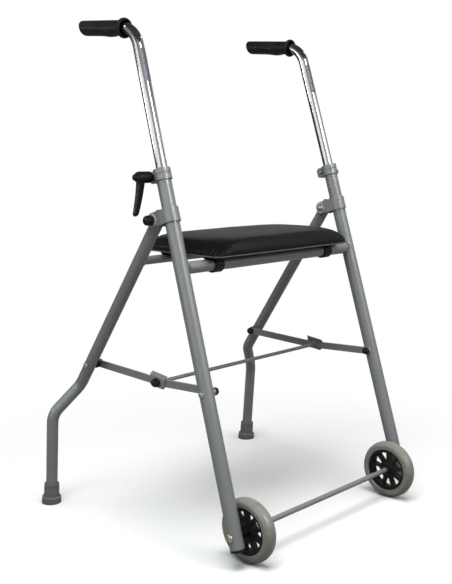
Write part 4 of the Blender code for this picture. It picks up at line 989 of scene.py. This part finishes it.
def stop_brackets(mid):
    """A plate over the front stay's joint, its top edge turned in over the stay, and the joint's cap."""
    forward = Vector((0, -cos(STOP_TILT), -sin(STOP_TILT)))
    up = Vector((0, -sin(STOP_TILT), cos(STOP_TILT)))
    inner, thick, low, top, length = STAY_THICK + GAP, 0.0020, -0.0100, 0.0130, 0.0440
    line = [(inner + thick, low), (inner + thick, top - 0.0006), (inner + thick - 0.0003, top),
            (inner + thick - 0.0009, top + 0.0006), (-0.0008, top + 0.0048)]
    base = mid - forward * length / 2
    plate = drawn("stop_bracket", [base - X * a + up * b for a, b in line])
    extruded(forward * length)
    selected(plate, lambda place: (place - mid).dot(up) < low + 1e-5)
    trimmed(0.0060, 8)
    selected(plate, lambda place: (place - mid).dot(up) > top + 0.0047)
    trimmed(0.0022, 5)
    shaped(plate)
    pair(softened(walled(plate, thick)), ENAMEL, "front_stays")
    face = inner + thick + GAP
    r, tall = 0.0093, 0.0122
    profile = [(0, -face + GAP), (STUD_R, -face + GAP), (STUD_R, 0.0004), (r - 0.001, 0.0004),
               (r - 0.0006, 0), (r - 0.0001, 0), (r, 0.0005)]
    profile += domed(r, tall, (1, 0.34), (0.965, 0.52), (0.88, 0.70), (0.72, 0.86), (0.48, 0.96),
                     (0.22, 0.995), (0, 1))
    pair(turned("mid_joint_screw", profile, mid - X * face, -X, 48), GLOSS_BLACK, "front_stays")


def fold_rod():
    face, tip = STAY_X - STAY_THICK - 2 * GAP, STAY_X - GAP
    r, collar = 0.0040, 0.0072
    half = [(0, tip), (STUD_R, tip), (STUD_R, face), (collar - 0.0002, face), (collar, face - 0.0003),
            (collar, face - 0.0013), (collar - 0.0003, face - 0.0016), (r + 0.0004, face - 0.0016),
            (r, face - 0.0020)]
    profile = half + [(radius, -h) for radius, h in reversed(half)]
    placed(turned("fold_rod", profile, Vector((0, MID_Y, MID_Z)), X, 40), ENAMEL, "rear_stays")


def stay_bolts(name, point, leg_radius, inner_face, body):
    """A plated screw head outside the leg, and a black cap nut on the stay inside."""
    head = point - X * (leg_radius / cos(SIDE_SPLAY) + GAP)
    length = abs(head.x) - inner_face + GAP
    bolt = "right_" + name + "_bolt"
    r, tall = 0.0062, 0.0032
    profile = domed(r, -tall, (0, 1), (0.40, 0.97), (0.68, 0.82), (0.9, 0.5), (1, 0.16), (1, 0))
    screw = turned(name + "_screw", profile + shank(STUD_R, length), head, X, 36)
    cross_recess(screw, head - X * tall, r * 1.3, 0.0020)
    pair(screw, STEEL, body, bolt)
    r, tall = 0.0080, 0.0104
    profile = [(0, 0.0003), (r - 0.001, 0.0003), (r - 0.0005, 0), (r - 0.0001, 0.0001), (r, 0.0006)]
    profile += domed(r, tall, (1, 0.36), (0.96, 0.55), (0.86, 0.74), (0.68, 0.89), (0.42, 0.975), (0, 1))
    pair(turned(name + "_cap", profile, head + X * length, X, 40), GLOSS_BLACK, body, bolt)


def spacers(front, rear):
    """A ring between the rear leg and its stay, and a washer between the front leg and its own."""
    bore = 0.0033
    inner = side_x(rear.z) - REAR_R / cos(SIDE_SPLAY)
    length = inner - GAP - 0.0095 * tan(SIDE_SPLAY) - STAY_X
    profile = [(bore, 0), (0.0097, 0), (0.0100, 0.0003), (0.0100, length - 0.0003), (0.0097, length),
               (bore, length)]
    ring = turned("rear_stay_spacer", profile, Vector((-STAY_X, rear.y, rear.z)), -X, 36)
    pair(ring, SATIN_BLACK, "rear_frame")
    face, tall, r = STAY_X + STAY_THICK + GAP, 0.0026, 0.0076
    profile = [(bore, 0), (r - 0.0004, 0), (r, 0.0004), (r, tall), (bore, tall)]
    washer = turned("front_stay_washer", profile, Vector((-face, front.y, front.z)), -X, 36)
    pair(washer, STEEL, "front_frame")


# Wheels

def wheel_tyres():
    rim, half = RIM_R + GAP, WHEEL_HALF
    depth = WHEEL_R - rim
    wall = [(rim, half * 0.86), (rim + 0.0006, half * 0.935), (rim + depth * 0.10, half * 0.985),
            (rim + depth * 0.17, half * 0.975), (rim + depth * 0.24, half * 0.955)]
    profile = [(r, -h) for r, h in wall]
    for i in range(25):
        t = radians(-90 + 7.5 * i)
        profile.append((rim + depth * 0.40 + depth * 0.60 * cos(t), half * sin(t)))
    pair(turned("wheel_tyre", profile + wall[::-1], WHEEL_CENTRE, X, 128), TYRE, "right_wheel")


def half_rim(end):
    """One side of the rim's profile, from its bore to its edge. The hub reaches out as far as end."""
    r, half, flange, hub, bore, web = RIM_R, RIM_HALF, RIM_FLANGE, RIM_HUB_R, 0.0061, SPOKE_DEPTH / 2
    return [(bore, end), (hub - 0.0014, end), (hub - 0.0006, end - 0.0006), (hub, web + 0.0008),
            (hub + 0.0014, web), (r - flange - 0.0012, web), (r - flange, web + 0.0008),
            (r - flange, half - 0.0005), (r - flange + 0.0005, half), (r - 0.0004, half),
            (r, half - 0.0004)]


def wheel_rims():
    """A moulded wheel centre: a ribbed ring, its spokes and a hub, all in one."""
    profile = [(r, -h) for r, h in half_rim(HUB_IN)] + half_rim(HUB_OUT)[::-1]
    rim = turned("wheel_rim", profile, WHEEL_CENTRE, -X, 96)
    inner = RIM_HUB_R + WINDOW_FROM_HUB
    outer = RIM_R - RIM_FLANGE - WINDOW_FROM_RING
    step = tau / OPENINGS
    half_in = max(step / 2 - SPOKE_WIDTH / 2 / inner, step / 12)
    half_out = step / 2 - SPOKE_WIDTH / 2 / outer
    for k in range(OPENINGS):
        turn = (k + WINDOW_PHASE) * step
        corners = [(inner, turn - half_in), (outer, turn - half_out), (outer * 1.035, turn),
                   (outer, turn + half_out), (inner, turn + half_in)]
        outline = rounded([(d * cos(t), d * sin(t)) for d, t in corners], 0.0016, 4)
        carved(rim, sawn("window", outline, WHEEL_CENTRE - X * 0.02, Y, Z, X * 0.04))
    left = pair(softened(rim, angle=50), SATIN_BLACK, "right_wheel")
    centre = Matrix.Translation((WHEEL_X, AXLE_Y, AXLE_Z))
    left.data.transform(centre @ Matrix.Rotation(LEFT_TURN * step, 4, "X") @ centre.inverted())


# Seat

def cover_height(x, y, inset):
    """Height of the cover: a crown with full sides, pulled down at the corners."""
    deep = SEAT_DEEP / 2
    shoulder = sqrt(1 - (1 - min(inset / SEAT_SHOULDER, 1)) ** 2)
    crown = 1 - (1 - inset / deep) ** 2
    to_side, to_front = SEAT_WIDE / 2 - abs(x), deep - abs(y)
    pull = NEAR_PULL if x < 0 and y < 0 else OTHER_PULL
    corner = pull * exp(-max(to_side - 0.010, 0) / 0.024 - max(to_front - 0.010, 0) / 0.032)
    edge = SEAT_EDGE * 1.5
    rise = (SEAT_THICK - edge) * (0.80 * shoulder + 0.20 * crown)
    return edge * (1 - 0.45 * corner) + rise * (1 - corner)


def bowed(x, y, wide, deep):
    """The seat's outline bows out a little in the middle of its edges."""
    return (x * (1 + PAD_BOW / wide * (1 - (y / deep) ** 2)),
            y * (1 + PAD_BOW / deep * (1 - (x / wide) ** 2)))


def seat_cushion():
    """A stuffed vinyl pad, swollen by a cloth simulation, then pleated and piped."""
    start()
    bpy.ops.mesh.primitive_cube_add(size=2, location=(0, 0, 0))
    pad = shaping("seat_pad")
    bpy.ops.mesh.subdivide(number_cuts=39)
    mode("OBJECT")
    for vert in pad.data.vertices:
        vert.co = pad_point(*vert.co)
    smoothed(pad)
    swell(pad)
    applied(pad, "SUBSURF", levels=1, render_levels=1)
    finer_corners(pad)
    for vert in pad.data.vertices:
        vert.co = gathered(vert.co)
    smoothed(pad, radians(80))
    pad.data.transform(Matrix.Translation((0, SEAT_Y, SEAT_Z)))
    placed(pad, VINYL, "seat", "seat_cushion")
    seat_piping()


def pad_point(u, v, w):
    """Where a point of the starting block goes: onto the cover, its side or its base."""
    wide, deep = SEAT_WIDE / 2 - 0.0012, SEAT_DEEP / 2 - 0.0012
    x, y = u * wide, v * deep
    over_x, over_y = abs(x) - (wide - PAD_CORNER), abs(y) - (deep - PAD_CORNER)
    if over_x > 0 and over_y > 0:
        far = max(over_x, over_y)
        length = hypot(over_x, over_y)
        x = copysign(wide - PAD_CORNER + over_x * far / length, x)
        y = copysign(deep - PAD_CORNER + over_y * far / length, y)
    inset = min(wide - abs(u) * wide, deep - abs(v) * deep)
    bow_x, bow_y = bowed(x, y, wide, deep)
    top = cover_height(x, y, inset) - PAD_SKIN
    if w > 0.999:
        return Vector((bow_x, bow_y, top))
    if w < -0.999:
        return Vector((bow_x * 0.985, bow_y * 0.985, PAD_BASE))
    share = (w + 1) / 2
    tuck = 1 - 0.012 * (1 - share) ** 2
    return Vector((bow_x * tuck, bow_y * tuck, PAD_BASE + (top - PAD_BASE) * share))


def swell(pad):
    """Blow the pad up as cloth, with its movement capped."""
    applied(pad, "REMESH", mode="VOXEL", voxel_size=0.0042)
    rest = [vert.co.copy() for vert in pad.data.vertices]
    pick(pad)
    cloth = pad.modifiers.new("cloth", "CLOTH")
    cloth.settings.use_pressure = True
    cloth.settings.uniform_pressure_force = 4
    cloth.settings.effector_weights.gravity = 0
    cloth.settings.tension_stiffness = 30
    cloth.settings.compression_stiffness = 8
    cloth.settings.bending_stiffness = 0.3
    scene = bpy.context.scene
    for number in range(1, 21):
        scene.frame_set(number)
    moved = pad.evaluated_get(bpy.context.evaluated_depsgraph_get())
    places = [vert.co.copy() for vert in moved.data.vertices]
    pad.modifiers.remove(cloth)
    scene.frame_set(1)
    for vert, home, place in zip(pad.data.vertices, rest, places):
        step = place - home
        vert.co = home + step * min(1, SWELL_LIMIT / max(step.length, 1e-9))


def finer_corners(pad):
    """Divide the pad's faces once more where the cover is pleated."""
    pick(pad)
    for face in pad.data.polygons:
        x, y, z = face.center
        to_side, to_front = SEAT_WIDE / 2 - abs(x), SEAT_DEEP / 2 - abs(y)
        face.select = min(to_side, to_front) < 0.020 and max(to_side, to_front) < 0.064 and z > 0.002
    mode("EDIT")
    bpy.ops.mesh.select_mode(type="FACE")
    bpy.ops.mesh.subdivide(number_cuts=1, smoothness=0.5)
    mode("OBJECT")


def gathered(place):
    """Pleats of the cover where it is gathered round a corner, and a soft unevenness on top."""
    x, y, z = place
    wide, deep = SEAT_WIDE / 2, SEAT_DEEP / 2
    to_side, to_front = wide - abs(x), deep - abs(y)
    edge, along = min(to_side, to_front), max(to_side, to_front)
    near = max(0.0, 1 - along / PLEAT_REACH)
    crest = cover_height(x, y, 0.006)
    skirt = max(0.0, 1 - edge / PLEAT_BAND) * min(max(z / crest, 0), 1) ** 2
    skirt *= max(0.0, 1 - (z / 0.036) ** 4)
    wave = noise.noise(Vector((along * 230, copysign(2, x) + copysign(5, y), z * 12)))
    fold = (0.8 * wave + sin(along * PLEAT_RATE + wave * 2)) * PLEAT_DEPTH * near ** 0.5 * skirt
    out = Vector((x / wide, y / deep, 0))
    out[1 if to_side < to_front else 0] *= 0.3
    out.normalize()
    top = min(max((z - 0.020) / 0.012, 0), 1)
    ripple = 0.0007 * noise.noise(Vector((x * 14, y * 20, 3))) * top
    return place + out * fold + Z * ripple


def seat_piping():
    """A thin welt just above the lower edge, right round the pad."""
    wide, deep = SEAT_WIDE / 2, SEAT_DEEP / 2
    ring = []
    for cx, cy, first in ((1, 1, 0), (-1, 1, 90), (-1, -1, 180), (1, -1, 270)):
        ring += arc(cx * (wide - PAD_CORNER), cy * (deep - PAD_CORNER), PAD_CORNER, first, first + 90, 8)
    path = []
    for (x0, y0), (x1, y1) in zip(ring, ring[1:] + ring[:1]):
        count = max(1, round(hypot(x1 - x0, y1 - y0) / 0.008))
        for i in range(count):
            x, y = bowed(x0 + (x1 - x0) * i / count, y0 + (y1 - y0) * i / count, wide, deep)
            path.append(Vector((x * 0.998, SEAT_Y + y * 0.997, SEAT_Z + 0.0032)))
    # The welt takes the pale grey finish of a painted highlight.
    placed(bead("seat_piping", path, 0.0011), PIPING_HIGHLIGHT, "seat")


def seat_fitting(name, bar_y, bar_z, middle):
    """A moulding between a bar and the seat: a flange under the seat, and this outline at the bar."""
    top = SEAT_Z - GAP - bar_z
    step = CLIP_WALL * 0.8
    outline = [(-CLIP_FLANGE, top), (-CLIP_FLANGE, top - step)] + middle
    outline += [(CLIP_FLANGE, top - step), (CLIP_FLANGE, top)]
    low = Vector((-CLIP_X - CLIP_WIDE / 2, bar_y, bar_z))
    pair(softened(sawn(name, outline, low, Y, Z, X * CLIP_WIDE)), GLOSS_BLACK, "seat")


def seat_fittings():
    """Clips that turn on the front bar, and rests that lie on the rear one."""
    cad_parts["seat_board"].data.materials[0] = SATIN_BLACK.material
    r = FRONT_BAR_R + GAP
    outer = r + CLIP_WALL
    hook = arc(0, 0, outer, 152, 296, 40) + arc(0, 0, r, 296, 26, 60) + arc(0, 0, outer, 26, 27, 1)
    seat_fitting("seat_hinge_clip", front_point(FRONT_BAR_Z).y, FRONT_BAR_Z, hook)
    r = REAR_BAR_R + GAP
    outer, drop = r + CLIP_WALL, REAR_BAR_R * 0.8
    saddle = arc(0, 0, r, 128, 0, 30) + [(r + 0.0003, -drop), (outer, -drop), (outer + 0.001, 0.0)]
    seat_fitting("seat_rest", rear_point(REAR_BAR_Z).y, REAR_BAR_Z, saddle)


# Studio

def studio():
    start()
    bpy.ops.mesh.primitive_plane_add(size=30, location=(0, 0, 0))
    floor = bpy.context.object
    floor.name = "floor"
    floor.data.materials.append(floor_paper())
    for name, first, last, low, high, tone in CARDS:
        turn = Matrix.Rotation(radians(first), 3, "Z")
        card = drawn(name, [turn @ Vector((CARD_AWAY, 0, z)) for z in (low, high)])
        bpy.ops.mesh.spin(steps=24, angle=-radians(last - first), center=(0, 0, 0), axis=(0, 0, 1))
        mirrored_only(card, (tone, tone, tone * 1.02, 1))
    mirrored_only(circle("top_card", 48, CARD_AWAY, (0, 0, CARD_TOP)), rgb("3a3530"))
    lamp("key_strip", (-0.04, -2.6, 2.5), (0.36, 1.3), 26, (-0.04, 0, 2.5), diffuse=False)
    lamp("low_key_strip", (-0.04, -2.6, 1.6), (0.36, 0.5), 1.6, (-0.04, 0, 1.6), diffuse=False)
    lamp("right_glint", (2.7, -0.25, 3.0), (0.25, 0.25), 1.5, (0, 0, 1))
    lamp("back_glint", (-1.9, 2.0, 3.05), (0.25, 0.25), 1.5, (0, 0, 1))
    lamp("soft_key", (1.0, -2.7, 2.1), (2.6, 2.6), 40, (0, 0, 0.5), glossy=False)
    shoulder = lamp("shoulder_fill", (-1.25, -0.35, 1.75), (0.9, 0.9), 17, (-0.25, 0, 0.75), glossy=False)
    shoulder.data.color = (0.90, 1.0, 0.96)
    lamp("left_glint", (-2.1, 1.75, 1.1), (0.35, 0.35), 4.5, (-0.3, 0, 0.5))
    lamp("overhead", (-0.5, -0.6, 5.0), (2.8, 2.8), 222, (0, 0, 0), glossy=False)
    backdrop()


def mirrored_only(card, glow):
    """Close the shaping of a card that lights nothing and shows only in what shines."""
    shaped(card)
    finish = Finish(card.name, Roughness=0.9, Emission_Strength=1.0, Base_Color=(0, 0, 0, 1))
    cloud = finish.noise(2, 2)
    finish.paint(Emission_Color=finish.mix(cloud * 0.2, glow, [part * 0.7 for part in glow[:3]] + [1]))
    card.data.materials.append(finish.material)
    card.visible_camera = card.visible_shadow = card.visible_diffuse = False


def floor_paper():
    """White paper to the camera, which takes shadow. To all else it is greyer, and throws less light up."""
    f = Finish("floor_paper", Roughness=0.85)
    f.paint(Base_Color=f.mix(f.noise(60, 3), "e9e9e9", "eeeeee"))
    paper = Signal(f, f.shader.outputs[0])
    grey = f.node("ShaderNodeBsdfDiffuse", None, {"Color": rgb("7f7d7b")})
    away = f.node("ShaderNodeVectorMath", {"operation": "LENGTH"}, {0: f.place}, "Value")
    white = f.node("ShaderNodeEmission", None, {"Color": WHITE, "Strength": 1.0})
    seen = f.either_shader(f.spread(away, 0.42, 1.0), paper, white)
    f.feed(f.tree.nodes["Material Output"].inputs["Surface"],
           f.either_shader(f.seen_by("Camera"), grey, seen))
    return f.material


def lamp(name, place, size, watts, target, glossy=True, diffuse=True):
    data = bpy.data.lights.new(name, "AREA")
    data.shape = "RECTANGLE"
    data.size, data.size_y = size
    data.energy = watts
    obj = added(name, data)
    obj.location = place
    obj.rotation_euler = (Vector(target) - Vector(place)).to_track_quat("-Z", "Y").to_euler()
    obj.visible_glossy, obj.visible_diffuse = glossy, diffuse
    return obj


def backdrop():
    """White to the camera and in reflections, and a soft light otherwise."""
    world = bpy.context.scene.world = bpy.data.worlds.new("studio")
    sky = Wiring(world)
    seen = sky.seen_by("Camera")
    for ray in ("Glossy", "Transmission"):
        seen = sky.math("MAXIMUM", seen, sky.seen_by(ray))
    soft = sky.tree.nodes["Background"]
    soft.inputs["Color"].default_value = WHITE
    soft.inputs["Strength"].default_value = 0.15
    white = sky.node("ShaderNodeBackground", None, {"Color": WHITE})
    sky.feed(sky.tree.nodes["World Output"].inputs["Surface"],
             sky.either_shader(seen, Signal(sky, soft.outputs[0]), white))


def camera():
    data = bpy.data.cameras.new("photo_view")
    data.sensor_width, data.clip_end = 36, 60
    data.lens = LENS
    data.shift_x, data.shift_y = LENS_SHIFT
    obj = bpy.context.scene.camera = added("photo_view", data)
    obj.location = CAMERA_AT
    roll = Matrix.Rotation(CAMERA_ROLL, 3, "Z").to_quaternion()
    obj.rotation_euler = (Vector(CAMERA_FORWARD).to_track_quat("-Z", "Y") @ roll).to_euler()


front_legs()
cross_bar("front_seat_bar", front_point, FRONT_BAR_Z, FRONT_BAR_R, LEG_R, "front_frame")
tie_rod()
axle_bolts()
hinge_brackets()
hinge_hardware()
height_clamps()
levers()
handle_tubes()
grips()
rear_legs()
cross_bar("rear_seat_bar", rear_point, REAR_BAR_Z, REAR_BAR_R, REAR_R, "rear_frame")
stays()
fold_rod()
wheel_tyres()
wheel_rims()
seat_cushion()
seat_fittings()
studio()
camera()
start()
bpy.context.scene.view_settings.view_transform = "Standard"
